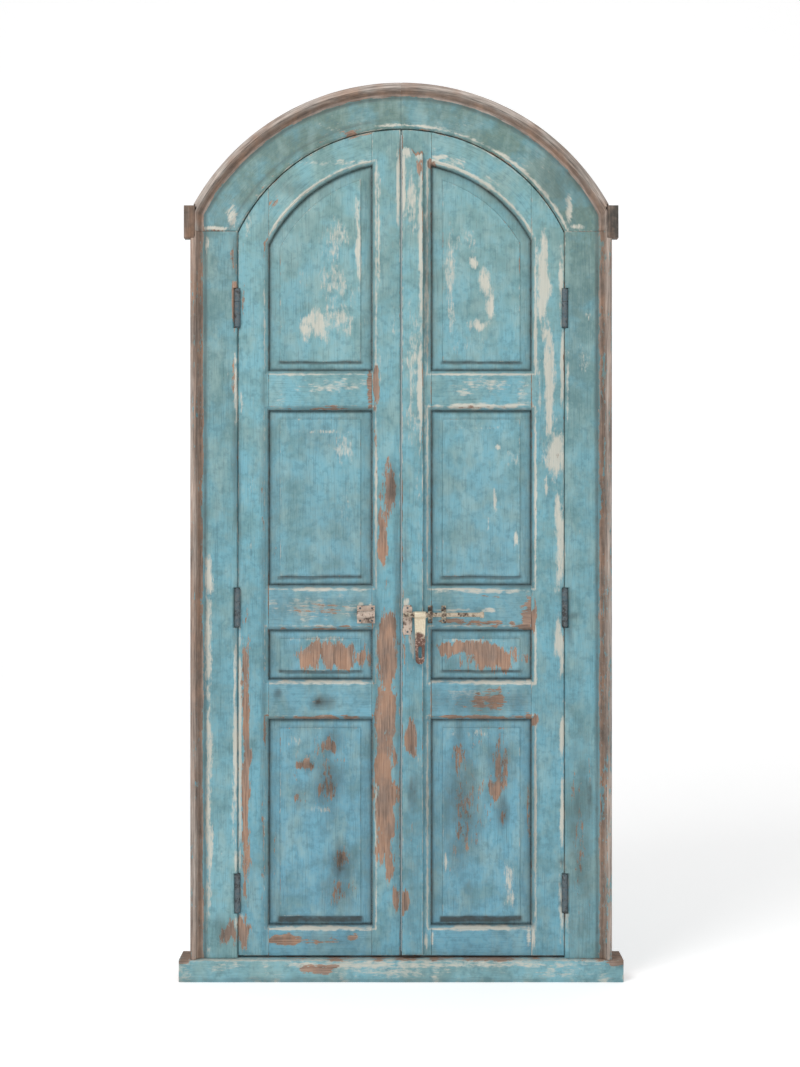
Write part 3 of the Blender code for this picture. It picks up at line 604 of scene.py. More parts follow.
def make_jamb(side, seed):
    sense = -1 if side == "left" else 1
    low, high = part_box(f"jamb_{side}")
    inner, outer = sense * OPENING_HALF, sense * FRAME_HALF
    pocket_x, pocket_z = pocket_marks(side)
    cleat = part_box(f"cleat_{side}")
    notch = FRAME_HALF - min(abs(cleat[0].x), abs(cleat[1].x)) + JOINT_GAP
    rim = rim_marks() + [notch, notch + JOINT_GAP]
    marks = [outer - sense * mark for mark in rim] + pocket_x
    marks += [inner + sense * FACE_CHAMFER * share for share in (0.25, 0.5, 0.75, 1.0, 1.6)]
    across = lines(min(inner, outer), max(inner, outer), FACE_SPACING, marks)
    ends = arris(low.z, high.z, 0.003) + [cleat[0].z - JOINT_GAP, cleat[0].z - 2 * JOINT_GAP]
    up = lines(low.z, high.z, POST_SPACING, ends + pocket_z)
    x, z = np.meshgrid(across, up, indexing="ij")
    inset = np.abs(outer - x)
    edge = np.minimum(z - low.z, high.z - z)
    chamfer = FACE_CHAMFER * np.clip(1 - np.abs(x - inner) / FACE_CHAMFER, 0, 1) ** 1.6
    front = RIM_FRONT + rim_drop(inset) + np.maximum(chamfer, worn_arris(edge, x, z, 0.002, seed))
    front = front + 0.00035 * (1 + ripple(x, z, seed + 1, 0.05, 0.22))
    dented = np.clip(ripple(x, z, seed + 2, 0.012, 0.05) - 0.5, 0, 1) * (inset < RIM_LIST)
    front = cut_pockets(front + 0.003 * dented, x, z, side)
    front = notched(front, x, z, side)
    near = np.minimum(edge, np.abs(x - inner) + 0.001)
    coats = weather(x, z, near, JAMB_SPOTS[side], seed + 3, bare=0.12, cream=0.17)
    pale = 0.35 * ripple(x, z, seed + 4, 0.010, 0.3)
    coats = rim_coats(coats, inset, x, z, RIM_LOOK[side], pale, seed + 5)
    item = board(f"jamb_{side}_timber", x, front, z, high.y, coats, (x, z, 1.3 * sense))
    painted(item, f"jamb_{side}", "frame", FRAME_PAINT)


make_jamb("left", 101)
make_jamb("right", 131)

# Arched head
# Two curved boards that meet at the crown and stand on the jambs, with the same rim round the
# outside. The joints have opened, and the edge of the opening has lost its paint to a cream line.
ARC_STEPS = 150
SHOULDER_STEPS = 12
HEAD_FACE_ROWS = 17
SHOULDER_HEIGHT = 0.054
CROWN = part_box("head_right")[1].z
OPENING_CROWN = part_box("left_meeting_stile")[1].z + SIDE_GAP
Arch = namedtuple("Arch", "centre radius")
HEAD_SPOTS = {
    "left": {
        "bare": [(-136, 2266, 22, 12, 100), (-300, 2150, 70, 30, 42), (-500, 2006, 35, 5, 70)],
        "cream": [
            (-110, 2300, 40, 16, 50), (-190, 2275, 40, 35, 42), (-485, 2013, 46, 7, 95),
            (-452, 2050, 12, 40, 85),
        ],
        "grime": [(-230, 2250, 200, 50, 22)],
    },
    "right": {
        "cream": [
            (150, 2290, 90, 16, 45), (330, 2190, 70, 50, 42), (470, 2016, 30, 8, 80),
            (448, 2060, 10, 50, 80),
        ],
        "bare": [(480, 2004, 55, 4, 60), (360, 2260, 50, 40, 42)],
        "grime": [(440, 2190, 90, 130, 42)],
    },
}
BEAD = {"left": (0.42, 0.55), "right": (0.95, 0.20)}
ARCH_RIM_LOOK = (1.0, 0.92, 0.06)
BEAD_OUT = 0.0080
BEAD_HALF = 0.0056
BEAD_CREAM_WITHIN = 0.085


def arch_through(half_span, spring, crown):
    rise = crown - spring
    radius = (half_span ** 2 + rise ** 2) / (2 * rise)
    return Arch(crown - radius, radius)


OUTER_ARCH = arch_through(FRAME_HALF, SPRING + SHOULDER_HEIGHT, CROWN)
OPENING_ARCH = arch_through(OPENING_HALF, SPRING, OPENING_CROWN)


def outer_line(inset):
    """Points along the head at one distance from its outer edge, from the spring to the crown."""
    radius = OUTER_ARCH.radius - inset
    side = FRAME_HALF - inset
    corner = OUTER_ARCH.centre + math.sqrt(radius ** 2 - side ** 2)
    rise = np.linspace(SPRING, corner, SHOULDER_STEPS + 1)
    turn = np.linspace(math.asin(side / radius), 0, ARC_STEPS + 1)[1:]
    x = np.concatenate([np.full(len(rise), side), radius * np.sin(turn)])
    z = np.concatenate([rise, OUTER_ARCH.centre + radius * np.cos(turn)])
    return x, z


def inner_line(outset):
    """Points along the head at one distance from its opening, in step with the outer line."""
    radius = OPENING_ARCH.radius + outset
    foot = math.acos((SPRING - OPENING_ARCH.centre) / radius)
    turn = np.linspace(foot, 0, SHOULDER_STEPS + ARC_STEPS + 1)
    return radius * np.sin(turn), OPENING_ARCH.centre + radius * np.cos(turn)


def bead_coats(coats, side, outset, x, z, seed):
    """The edge of the opening: cream on the right and at the crown, brown on the left."""
    cream, bare = BEAD[side]
    close = 0.55 + 0.45 * ripple(x, z, seed, 0.035, 0.035)
    line = bell(outset, BEAD_OUT, BEAD_HALF)
    near_crown = np.exp(-(x / BEAD_CREAM_WITHIN) ** 4)
    cream = np.maximum(cream, 0.95 * near_crown)
    # Painted shade: a dark line on the face just outside the cream line, strongest where there is least
    # cream, on the left half.
    dark = 0.6 * bell(outset, BEAD_OUT + 2.4 * BEAD_HALF, BEAD_HALF)
    return Coats(
        np.maximum(coats.bare, bare * (1 - near_crown) * line * (1.3 - close)),
        np.maximum(coats.cream, cream * line * (0.55 + 0.6 * close)),
        np.maximum(coats.grime, dark * (1.2 - cream)),
        coats.pale,
    )


def make_head(side, seed):
    sense = -1 if side == "left" else 1
    notch = FRAME_HALF - min(abs(end.x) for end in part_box(f"cleat_{side}")) + JOINT_GAP
    marks = sorted([0.0, notch, notch + JOINT_GAP] + rim_marks())
    rows = [outer_line(mark) for mark in marks]
    face_start, face_end = outer_line(RIM_WIDTH), inner_line(0.007)
    for step in range(1, HEAD_FACE_ROWS):
        share = step / HEAD_FACE_ROWS
        rows.append([a * (1 - share) + b * share for a, b in zip(face_start, face_end)])
    rows += [inner_line(FACE_CHAMFER * share) for share in (1.7, 1.0, 0.7, 0.4, 0.15, 0.0)]
    x, z = (np.stack(part, 1) for part in zip(*rows))
    inset = np.minimum(FRAME_HALF - x, OUTER_ARCH.radius - np.hypot(x, z - OUTER_ARCH.centre))
    inset = np.maximum(inset, 0)
    outset = np.hypot(x, z - OPENING_ARCH.centre) - OPENING_ARCH.radius
    ends = np.minimum(z - SPRING, x)
    chamfer = FACE_CHAMFER * np.clip(1 - outset / FACE_CHAMFER, 0, 1) ** 1.6
    front = RIM_FRONT + rim_drop(inset) + np.maximum(chamfer, worn_arris(ends, x, z, 0.0025, seed))
    front = front + 0.00035 * (1 + ripple(x, z, seed + 1, 0.09, 0.09))
    dented = np.clip(ripple(x, z, seed + 2, 0.03, 0.03) - 0.5, 0, 1) * (inset < RIM_LIST)
    front = front + 0.0025 * dented
    x = x * sense
    front = notched(front, x, z, side)
    near = np.minimum(z - SPRING, outset + 0.0005)
    coats = weather(x, z, near, HEAD_SPOTS[side], seed + 3, bare=0.10, cream=0.20)
    pale = 0.5 * ripple(x, z, seed + 4, 0.03, 0.03)
    coats = bead_coats(coats, side, outset, x, z, seed + 6)
    coats = rim_coats(coats, inset, x, z, ARCH_RIM_LOOK, pale, seed + 5)
    arc = np.broadcast_to(np.linspace(0, 0.95, x.shape[0])[:, None], x.shape)
    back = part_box(f"head_{side}")[1].y
    item = board(f"head_{side}_timber", x, front, z, back, coats, (inset, arc, 2.1 * sense))
    painted(item, f"head_{side}", "frame", FRAME_PAINT)


make_head("left", 201)
make_head("right", 231)

# Leaves
# Each leaf is a frame of two stiles and five rails with a moulded edge round its four panels.
# Thin lips on the meeting edges, darkened with painted shade, leave a dark hairline between the
# leaves. Paint has gone along the meeting and hinge edges, down to brown wood on the left and to
# the cream coat on the right.
LEAF_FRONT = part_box("left_meeting_stile")[0].y
LEAF_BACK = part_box("left_meeting_stile")[1].y
LEAF_ARCH = Arch(OPENING_ARCH.centre, OPENING_ARCH.radius - SIDE_GAP)
TOP_RAIL = 0.087
MOULDING_WIDTH = 0.010
MOULDING_DEPTH = 0.010
MOULDING_QUIRK = 0.0015
MOULDING_CREST = (MOULDING_WIDTH + 0.0010, 0.0050)
# The moulding's slope and its foot are darkened with painted shade; these give the middle and reach of
# each.
MOULDING_SLOPE = (0.0045, 0.0042)
MOULDING_FOOT = (0, 0.0042)
RAIL_RUB = (0.003, 0.0035)
ARRIS = 0.0018
JOINT_ROUNDING = 0.0009
SPRING_ROWS = 0.015
LIP_REACH = {"left": 0.0026, "right": 0.0018}
LIP_ROOT = 0.0015
LIP_SETBACK = 0.0008
LIP_DEPTH = 0.011
LIP_END = 0.002
LOWER_HALF = 1.1
Opening = namedtuple("Opening", "left right bottom top arch")
LEAF_PAINT = {
    "upper_leaf_paint": painted_timber("upper_leaf_paint", [
        (0.02, (0.140, 0.345, 0.440)),
        (0.40, (0.150, 0.370, 0.450)),
        (0.60, (0.165, 0.390, 0.460)),
        (0.80, (0.200, 0.390, 0.410)),
        (0.95, (0.190, 0.340, 0.330)),
    ]),
    "lower_leaf_paint": painted_timber("lower_leaf_paint", [
        (0.02, (0.135, 0.330, 0.440)),
        (0.25, (0.140, 0.350, 0.460)),
        (0.42, (0.160, 0.345, 0.420)),
        (0.60, (0.165, 0.370, 0.430)),
    ]),
}
STILE_SPOTS = {
    "left_hinge_stile": {
        "bare": [
            (-415.5, 570, 12, 370, 95), (-424, 125, 20, 45, 85), (-372, 400, 7, 260, 55),
            (-370, 1250, 7, 200, 50), (-425, 1830, 6, 80, 60),
        ],
        "cream": [
            (-432, 640, 5.5, 360, 100), (-408, 2010, 12, 50, 62), (-428, 1560, 5, 80, 62),
            (-428, 160, 8, 22, 80), (-400, 1300, 20, 400, 34),
        ],
        "grime": [(-366, 1000, 9, 900, 50), (-434, 1300, 5, 200, 50)],
    },
    "left_meeting_stile": {
        "bare": [
            (-46, 1190, 14, 80, 100), (-34, 1310, 22, 85, 88), (-35, 865, 31, 130, 100),
            (-42, 490, 30, 225, 100), (-40, 700, 29, 95, 86), (-68, 1585, 12, 50, 100),
            (-66, 1440, 8, 80, 58), (-64, 700, 10, 80, 60), (-40, 1060, 26, 40, 48),
            (-10, 215, 10, 45, 85),
        ],
        "cream": [
            (-59, 2000, 4.5, 180, 90), (-9, 2125, 6, 110, 92), (-20, 1800, 14, 200, 42),
            (-58, 1640, 6, 120, 60),
        ],
        "grime": [
            (-20, 1330, 12, 60, 70), (-10, 1000, 10, 250, 55), (-68, 900, 10, 400, 40),
            (-10, 500, 8, 300, 45),
        ],
    },
    "right_meeting_stile": {
        "cream": [(62, 1700, 4, 260, 70), (67, 110, 6, 30, 95)],
        "bare": [(78, 2186, 8, 16, 100), (70, 900, 8, 60, 60), (72, 700, 8, 30, 66)],
        "grime": [(70, 1900, 8, 260, 72), (72, 1200, 8, 250, 45), (74, 500, 10, 230, 55)],
    },
    "right_hinge_stile": {
        "cream": [
            (414, 1405, 27, 56, 100), (395, 1600, 17, 170, 100), (381, 1860, 19, 140, 100),
            (432, 1650, 7.5, 110, 98), (430, 1860, 8, 130, 85), (426, 1172, 15, 140, 100),
            (389, 1326, 5.5, 30, 85), (427, 895, 14, 76, 100), (432, 653, 9, 74, 100),
            (433, 450, 6.5, 110, 92), (428, 190, 7, 120, 80), (353, 112, 8, 36, 90),
            (370, 1600, 5, 140, 62),
        ],
        "bare": [
            (420, 1410, 14, 20, 45), (357, 970, 10, 66, 92), (357, 695, 10, 28, 85),
            (362, 1200, 6, 130, 42),
        ],
        "grime": [
            (358, 450, 10, 240, 48), (400, 1290, 12, 50, 30), (428, 317, 6, 8, 80),
            (428, 255, 6, 6, 80), (428, 205, 6, 6, 70),
        ],
    },
}
RAIL_SPOTS = {
    "left_top_rail": {
        "cream": [(-150, 2190, 110, 10, 62), (-395, 1985, 10, 20, 70)],
        "bare": [(-340, 2080, 26, 20, 55)],
        "grime": [(-300, 2120, 50, 20, 35)],
    },
    "right_top_rail": {
        "cream": [(230, 2130, 60, 26, 52), (140, 2190, 60, 18, 60), (100, 2205, 20, 8, 95)],
        "bare": [(84, 2182, 10, 14, 100)],
    },
    "left_upper_rail": {
        "cream": [(-190, 1592, 110, 20, 66), (-320, 1560, 20, 40, 50)],
        "bare": [(-82, 1582, 10, 55, 100), (-200, 1530, 150, 4, 62)],
        "grime": [(-220, 1532, 140, 6, 45)],
    },
    "right_upper_rail": {
        "cream": [
            (220, 1596, 130, 18, 62), (170, 1575, 30, 16, 66), (330, 1560, 26, 50, 60),
            (215, 1537, 180, 8, 95),
        ],
        "bare": [(190, 1534, 160, 6, 55)],
    },
    "left_lock_rail": {
        "cream": [
            (-225, 998, 120, 36, 62), (-210, 1046, 140, 6, 80), (-110, 1008, 8, 8, 95),
            (-82, 1006, 5, 6, 90), (-220, 948, 140, 5, 66),
        ],
        "bare": [(-215, 994, 90, 26, 52), (-220, 941, 140, 4, 70)],
        "grime": [(-225, 996, 120, 34, 32)],
    },
    "right_lock_rail": {
        "bare": [
            (342, 985, 16, 60, 95), (210, 958, 110, 10, 72), (140, 962, 40, 8, 80),
            (250, 1022, 100, 10, 50),
        ],
        "cream": [
            (200, 1042, 130, 7, 90), (245, 990, 24, 7, 95), (140, 991, 60, 5, 80),
            (200, 948, 130, 4, 70),
        ],
    },
    "left_lower_rail": {
        "grime": [(-215, 742, 26, 16, 95), (-330, 765, 8, 12, 80)],
        "bare": [(-212, 742, 26, 14, 55), (-220, 702, 140, 6, 75)],
        "cream": [(-210, 797, 140, 6, 90)],
    },
    "right_lower_rail": {
        "bare": [
            (250, 752, 72, 28, 74), (150, 740, 50, 14, 52), (346, 706, 12, 16, 85),
            (220, 703, 150, 6, 85),
        ],
        "cream": [(220, 797, 140, 6, 90), (345, 802, 10, 10, 95), (200, 764, 110, 20, 60)],
        "grime": [(210, 745, 130, 32, 55)],
    },
    "left_bottom_rail": {
        "bare": [(-305, 106, 62, 16, 100), (-200, 104, 120, 18, 52), (-125, 112, 18, 12, 80)],
        "cream": [(-215, 137, 150, 7, 98)],
        "grime": [(-220, 108, 130, 16, 30)],
    },
    "right_bottom_rail": {
        "cream": [(215, 138, 150, 8, 100), (85, 110, 4, 30, 90), (342, 112, 6, 36, 90)],
        "bare": [(130, 100, 40, 10, 45)],
    },
}
MOULDING_WEAR = {
    "left_hinge_stile": (0.62, 0.45),
    "right_hinge_stile": (0.92, 0.30),
    "left_meeting_stile": (0.80, 0.45),
    "right_meeting_stile": (0.78, 0.42),
    "left_top_rail": (0.85, 0.15),
    "right_top_rail": (1.30, 0.12),
}


def openings_of(side):
    """The four openings between a leaf's stiles and rails, in metres from the origin."""
    rails = [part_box(f"{side}_{place}_rail") for place in ("bottom", "lower", "lock", "upper")]
    left, right = rails[0][0].x - JOINT_GAP, rails[0][1].x + JOINT_GAP
    found = {}
    for name, under, over in zip(("bottom_panel", "short_panel", "tall_panel"), rails, rails[1:]):
        found[name] = Opening(left, right, under[1].z, over[0].z, None)
    arch = Arch(LEAF_ARCH.centre, LEAF_ARCH.radius - TOP_RAIL)
    found["arched_panel"] = Opening(left, right, rails[-1][1].z, None, arch)
    return found


def outside(opening, x, z):
    """How far a point lies outside an opening, with its corners mitred."""
    level = np.maximum.reduce([opening.left - x, x - opening.right, opening.bottom - z])
    if opening.arch is None:
        return np.maximum(level, z - opening.top)
    return np.maximum(level, np.hypot(x, z - opening.arch.centre) - opening.arch.radius)


def moulding_drop(level):
    """Depth of the moulded edge: a small quirk, then a quarter round down to the panel."""
    share = np.clip(1 - level / MOULDING_WIDTH, 0, 1)
    drop = MOULDING_QUIRK + (MOULDING_DEPTH - MOULDING_QUIRK) * (1 - np.sqrt(1 - share ** 2))
    return np.where(level < MOULDING_WIDTH + 1e-6, drop, 0)


def moulding_marks(edge, sense):
    """Lines across the moulded edge, going away from the opening."""
    shares = [1 - math.sin(math.radians(turn)) for turn in (88, 75, 60, 45, 30, 15, 0)]
    marks = [MOULDING_WIDTH * share for share in shares]
    marks += [MOULDING_WIDTH + 0.0003, MOULDING_WIDTH + 0.0015, MOULDING_WIDTH + 0.004]
    return [edge + sense * mark for mark in marks]


def moulded_face(x, z, edge, openings, radius, seed):
    """Front of a stile or rail, and how far each point is from the nearest moulded edge."""
    level = np.minimum.reduce([np.maximum(outside(opening, x, z), 0) for opening in openings])
    drop = np.maximum(moulding_drop(level), worn_arris(edge, x, z, radius, seed))
    swell = 0.00025 * (1 + ripple(x, z, seed + 1, 0.06, 0.14))
    return LEAF_FRONT + drop + swell, level


def moulded_coats(coats, level, x, z, seed, cream=0.62, bare=0.34):
    """Adds the rubbed top edge of the moulding, and darkens its slope and its foot with painted shade and
    some dirt.
    """
    close = 0.5 + 0.5 * ripple(x, z, seed, 0.025, 0.06)
    broad = 0.5 + 0.5 * ripple(x, z, seed + 1, 0.15, 0.22)
    crest, slope, foot = (
        bell(level, *place) for place in (MOULDING_CREST, MOULDING_SLOPE, MOULDING_FOOT)
    )
    return Coats(
        np.maximum(coats.bare, bare * 1.9 * np.maximum(crest, 0.7 * slope) * close * (1.15 - broad)),
        np.maximum(coats.cream, cream * crest * (0.42 + 0.85 * broad)),
        # Painted shade on the slope and at the foot, with some dirt.
        np.maximum.reduce([coats.grime, 0.92 * foot, 0.60 * slope * (1.2 - cream * broad)]),
        coats.pale,
    )


def leaf_paint(height):
    slot = "lower_leaf_paint" if height < LOWER_HALF else "upper_leaf_paint"
    return LEAF_PAINT[slot], slot


def capped(across, z, cap):
    """A level grid with a cap on top, whose rows stand at other heights on each line."""
    z = np.concatenate([z, cap], 1)
    return np.broadcast_to(across[:, None], z.shape), z


def make_stile(side, member, seed):
    name = f"{side}_{member}_stile"
    low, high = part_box(name)
    openings = list(openings_of(side).values())
    hinged = member == "hinge"
    sense = -1 if side == "left" else 1
    inner = openings[0].right if hinged == (side == "right") else openings[0].left
    away = sense if hinged else -sense
    marks = moulding_marks(inner, away) + arris(low.x, high.x, ARRIS)
    arch_corner = LEAF_ARCH.centre + math.sqrt(openings[-1].arch.radius ** 2 - inner ** 2)
    up_marks = [low.z + ARRIS * share for share in (0.1, 0.35, 0.7, 1.0, 2.0)]
    for opening in openings:
        up_marks += moulding_marks(opening.bottom, -1)
        if opening.arch is None:
            up_marks += moulding_marks(opening.top, 1)
    corner_shares = (-0.8, -0.4, 0, 0.2, 0.4, 0.7, 1, 1.4)
    up_marks += [arch_corner + MOULDING_WIDTH * share for share in corner_shares]
    if hinged:
        pocket_x, pocket_z = pocket_marks(side)
        marks, up_marks = marks + pocket_x, up_marks + pocket_z
    across = lines(low.x, high.x, FACE_SPACING, marks)
    outer_x = max(abs(low.x), abs(high.x))
    tops = LEAF_ARCH.centre + np.sqrt(LEAF_ARCH.radius ** 2 - across ** 2)
    level_rows = LEAF_ARCH.centre + math.sqrt(LEAF_ARCH.radius ** 2 - outer_x ** 2) - SPRING_ROWS
    up = lines(low.z, level_rows, POST_SPACING, up_marks)
    x, z = np.meshgrid(across, up, indexing="ij")
    shares = 1 - lines(0, 1, 0.09, [0.01, 0.03, 0.08])[::-1][1:]
    cap = level_rows + (tops - level_rows)[:, None] * shares[None, :]
    x, z = capped(across, z, cap)
    edge = np.minimum.reduce([x - low.x, high.x - x, z - low.z, tops[:, None] - z])
    front, level = moulded_face(x, z, edge, openings, ARRIS, seed)
    if hinged:
        front = cut_pockets(front, x, z, side)
    coats = weather(x, z, edge, STILE_SPOTS[name], seed + 2, bare=0.14, cream=0.20)
    coats = moulded_coats(coats, level, x, z, seed + 6, *MOULDING_WEAR[name])
    item = board(f"{name}_timber", x, front, z, LEAF_BACK, coats, (x, z, 0.37 * seed))
    painted(item, name, f"{side}_leaf", LEAF_PAINT["upper_leaf_paint"])
    if not hinged:
        make_lip(side, min(low.x, high.x, key=abs), low.z + LIP_END, high.z - LIP_END, seed + 9)


def make_lip(side, edge, bottom, top, seed):
    """A thin lip down the meeting edge, darkened with painted shade, so that only a dark hairline shows
    between the leaves.
    """
    away = -1 if side == "left" else 1
    ends = sorted((edge + away * LIP_ROOT, edge - away * LIP_REACH[side]))
    x, z = np.meshgrid(np.linspace(*ends, 5), lines(bottom, top, POST_SPACING), indexing="ij")
    front = LEAF_FRONT + LIP_SETBACK + 0.0002 * (1 + ripple(x, z, seed, 0.01, 0.08))
    close = 0.5 + 0.5 * ripple(x, z, seed + 1, 0.01, 0.05)
    # Painted shade: the lip's third coat is kept heavy so that the gap between the leaves reads dark.
    coats = Coats(0.35 * close, 0.30 * (1 - close), 0.65 + 0.2 * close, 0.2 + 0 * x)
    back = LEAF_FRONT + LIP_DEPTH
    item = board(f"{side}_meeting_lip", x, front, z, back, coats, (x, z, 0.37 * seed))
    item.data.materials.append(LEAF_PAINT["upper_leaf_paint"])
    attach(item, f"{side}_leaf")


def make_rail(side, place, seed):
    name = f"{side}_{place}_rail"
    low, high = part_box(name)
    openings = [
        opening for opening in openings_of(side).values()
        if abs(opening.bottom - high.z) < 0.001 or abs((opening.top or 9) - low.z) < 0.001
    ]
    marks = arris(low.x, high.x, JOINT_ROUNDING)
    up_marks = moulding_marks(high.z, -1)
    up_marks += moulding_marks(low.z, 1) if len(openings) > 1 else arris(low.z, low.z, ARRIS)
    across = lines(low.x, high.x, FACE_SPACING, marks)
    up = lines(low.z, high.z, FACE_SPACING, up_marks)
    x, z = np.meshgrid(across, up, indexing="ij")
    ends = np.minimum(x - low.x, high.x - x)
    front, level = moulded_face(x, z, ends, openings, JOINT_ROUNDING, seed)
    if len(openings) == 1:
        front = np.maximum(front, LEAF_FRONT + worn_arris(z - low.z, x, z, ARRIS, seed + 5))
    paint, slot = leaf_paint(low.z)
    coats = weather(x, z, ends + 0.002, RAIL_SPOTS[name], seed + 2, bare=0.16, cream=0.20)
    # Painted highlight and shade: the rail's upper moulding, which faces up, gets more cream than its
    # wear gives, and its lower one, which faces down, more bare dark wood.
    upper = (z > (low.z + high.z) / 2) * 1.0
    coats = moulded_coats(coats, level, x, z, seed + 6, 0.40 + 0.45 * upper, 0.62 - 0.4 * upper)
    item = board(f"{name}_timber", x, front, z, LEAF_BACK, coats, (z, x, 0.37 * seed))
    painted(item, name, f"{side}_leaf", paint)


def make_top_rail(side, seed):
    """The arched rail, on a grid of arcs between its two curved edges."""
    name = f"{side}_top_rail"
    opening = openings_of(side)["arched_panel"]
    ends = sorted([abs(opening.left), abs(opening.right)])
    near, far = ends[0] + JOINT_GAP, ends[1] - JOINT_GAP
    marks = moulding_marks(opening.arch.radius, 1)
    marks += [LEAF_ARCH.radius - ARRIS * share for share in (0.1, 0.35, 0.7, 1.0, 2.0)]
    radii = lines(opening.arch.radius, LEAF_ARCH.radius, FACE_SPACING, marks)
    shares = lines(0, 1, 0.012, [0.001, 0.003, 0.006, 0.994, 0.997, 0.999])
    starts, ends = np.arcsin(near / radii), np.arcsin(far / radii)
    turn = starts[None, :] + (ends - starts)[None, :] * shares[:, None]
    sense = -1 if side == "left" else 1
    x, z = radii[None, :] * np.sin(turn), LEAF_ARCH.centre + radii[None, :] * np.cos(turn)
    edge = np.minimum(x - near, far - x)
    outer = LEAF_ARCH.radius - radii[None, :]
    front, level = moulded_face(x * sense, z, edge, [opening], JOINT_ROUNDING, seed)
    front = np.maximum(front, LEAF_FRONT + worn_arris(outer, x, z, ARRIS, seed + 5))
    x = x * sense
    coats = weather(x, z, np.minimum(outer, edge + 0.002), RAIL_SPOTS[name], seed + 2, cream=0.24)
    coats = moulded_coats(coats, level, x, z, seed + 6, *MOULDING_WEAR[name])
    rubbed = bell(outer, *RAIL_RUB) * (0.55 + 0.45 * ripple(x, z, seed + 8, 0.05, 0.05))
    if side == "right":
        coats = coats._replace(cream=np.maximum(coats.cream, 0.95 * rubbed))
    else:
        coats = coats._replace(bare=np.maximum(coats.bare, 0.62 * rubbed))
    run = (radii[None, :], turn * LEAF_ARCH.radius, 0.37 * seed)
    item = board(f"{name}_timber", x, front, z, LEAF_BACK, coats, run)
    painted(item, name, f"{side}_leaf", LEAF_PAINT["upper_leaf_paint"])


for number, side in enumerate(("left", "right")):
    make_stile(side, "hinge", 301 + 50 * number)
    make_stile(side, "meeting", 311 + 50 * number)
    make_top_rail(side, 321 + 50 * number)
    for step, place in enumerate(("bottom", "lower", "lock", "upper")):
        make_rail(side, place, 331 + 50 * number + 4 * step)

# Panels
# Raised and fielded boards held in the leaves' grooves: a long bevel all round, a short step and
# a flat field. The short pair is rubbed bare, the low pair has lost long flakes down its grain,
# and pale scuffs lie on the arched pair.
PANEL_THICKNESS = 0.019
PANEL_BACK = LEAF_FRONT + 0.005 + PANEL_THICKNESS
FIELD_SETBACK = 0.005
FIELD_STEP = 0.003
TONGUE_SETBACK = 0.014
BEVEL_SIDE = 0.029
BEVEL_END = 0.022
BEVEL_STEPS = 6
ARCHED_ROWS = 45
PANEL_SPACING = 0.0055
# Middle and reach of painted shade in the groove at the bevel's foot, with some dirt, and of painted
# shade round the field's step.
GROOVE_SHADE_AND_DIRT = (0, 0.006)
STEP_SHADE = (-0.0020, 0.0030)
PANEL_SPOTS = {
    "left_arched_panel": {
        "cream": [
            (-115, 1960, 8, 150, 85), (-173, 1990, 40, 60, 66), (-180, 1880, 40, 60, 64),
            (-232, 1755, 42, 38, 90), (-160, 1780, 50, 60, 62), (-250, 1900, 30, 80, 40),
        ],
    },
    "right_arched_panel": {
        "cream": [
            (130, 1880, 16, 140, 72), (193, 1920, 14, 18, 95), (224, 1870, 15, 50, 100),
            (238, 1805, 12, 45, 100), (205, 1755, 24, 18, 85), (180, 1980, 40, 50, 48),
            (200, 1700, 90, 30, 42),
        ],
    },
    "left_tall_panel": {
        "cream": [(-157, 1420, 32, 44, 62), (-200, 1470, 80, 6, 60), (-150, 1260, 30, 60, 45)],
        "bare": [(-338, 1220, 6, 180, 42)],
        "grime": [(-230, 1450, 80, 40, 22)],
    },
    "right_tall_panel": {
        "cream": [
            (260, 1430, 9, 9, 95), (300, 1400, 16, 30, 58), (251, 1280, 5, 32, 90),
            (236, 1225, 5, 22, 80), (310, 1180, 8, 22, 98), (220, 1480, 110, 6, 55),
        ],
        "bare": [(100, 1200, 7, 140, 40)],
        "grime": [(230, 1110, 40, 16, 25)],
    },
    "left_short_panel": {
        "bare": [(-186, 868, 88, 40, 100), (-250, 872, 42, 36, 80)],
        "cream": [(-210, 912, 110, 8, 62)],
    },
    "right_short_panel": {
        "bare": [(246, 866, 88, 42, 100), (160, 888, 70, 22, 95)],
        "cream": [(190, 908, 110, 6, 72)],
        "grime": [(140, 850, 50, 16, 30)],
    },
    "left_bottom_panel": {
        "bare": [
            (-195, 625, 20, 26, 80), (-253, 574, 26, 14, 82), (-197, 505, 40, 55, 62),
            (-275, 480, 14, 26, 62), (-215, 560, 80, 120, 48), (-162, 323, 30, 32, 78),
            (-168, 238, 42, 48, 60), (-340, 400, 6, 200, 50),
        ],
        "cream": [(-280, 640, 24, 20, 50), (-215, 455, 30, 12, 58)],
        "grime": [
            (-200, 515, 40, 70, 78), (-160, 315, 36, 46, 85), (-190, 630, 26, 34, 62),
            (-252, 574, 26, 16, 66), (-170, 240, 40, 50, 55), (-275, 490, 12, 30, 50),
        ],
    },
    "right_bottom_panel": {
        "bare": [
            (160, 580, 22, 100, 62), (160, 430, 28, 140, 60), (195, 500, 60, 190, 50),
            (270, 580, 24, 80, 66), (255, 515, 30, 32, 80), (272, 430, 14, 45, 56),
            (345, 440, 9, 150, 56), (135, 290, 16, 80, 48),
        ],
        "cream": [(290, 255, 18, 65, 74), (119, 310, 5, 30, 95), (190, 660, 80, 10, 50)],
        "grime": [
            (160, 480, 38, 200, 62), (272, 445, 16, 50, 70), (345, 440, 16, 130, 50),
            (266, 570, 32, 90, 52),
        ],
    },
}
# Painted shade in a band under each field's bottom step: its strength, the height of its middle above the
# panel's foot, and its half-height.
PANEL_SHADE = {
    "bottom_panel": (1.15, 0.0135, 0.0100),
    "short_panel": (0.85, 0.0195, 0.0055),
    "tall_panel": (0.80, 0.0200, 0.0055),
    "arched_panel": (0.85, 0.0200, 0.0050),
}


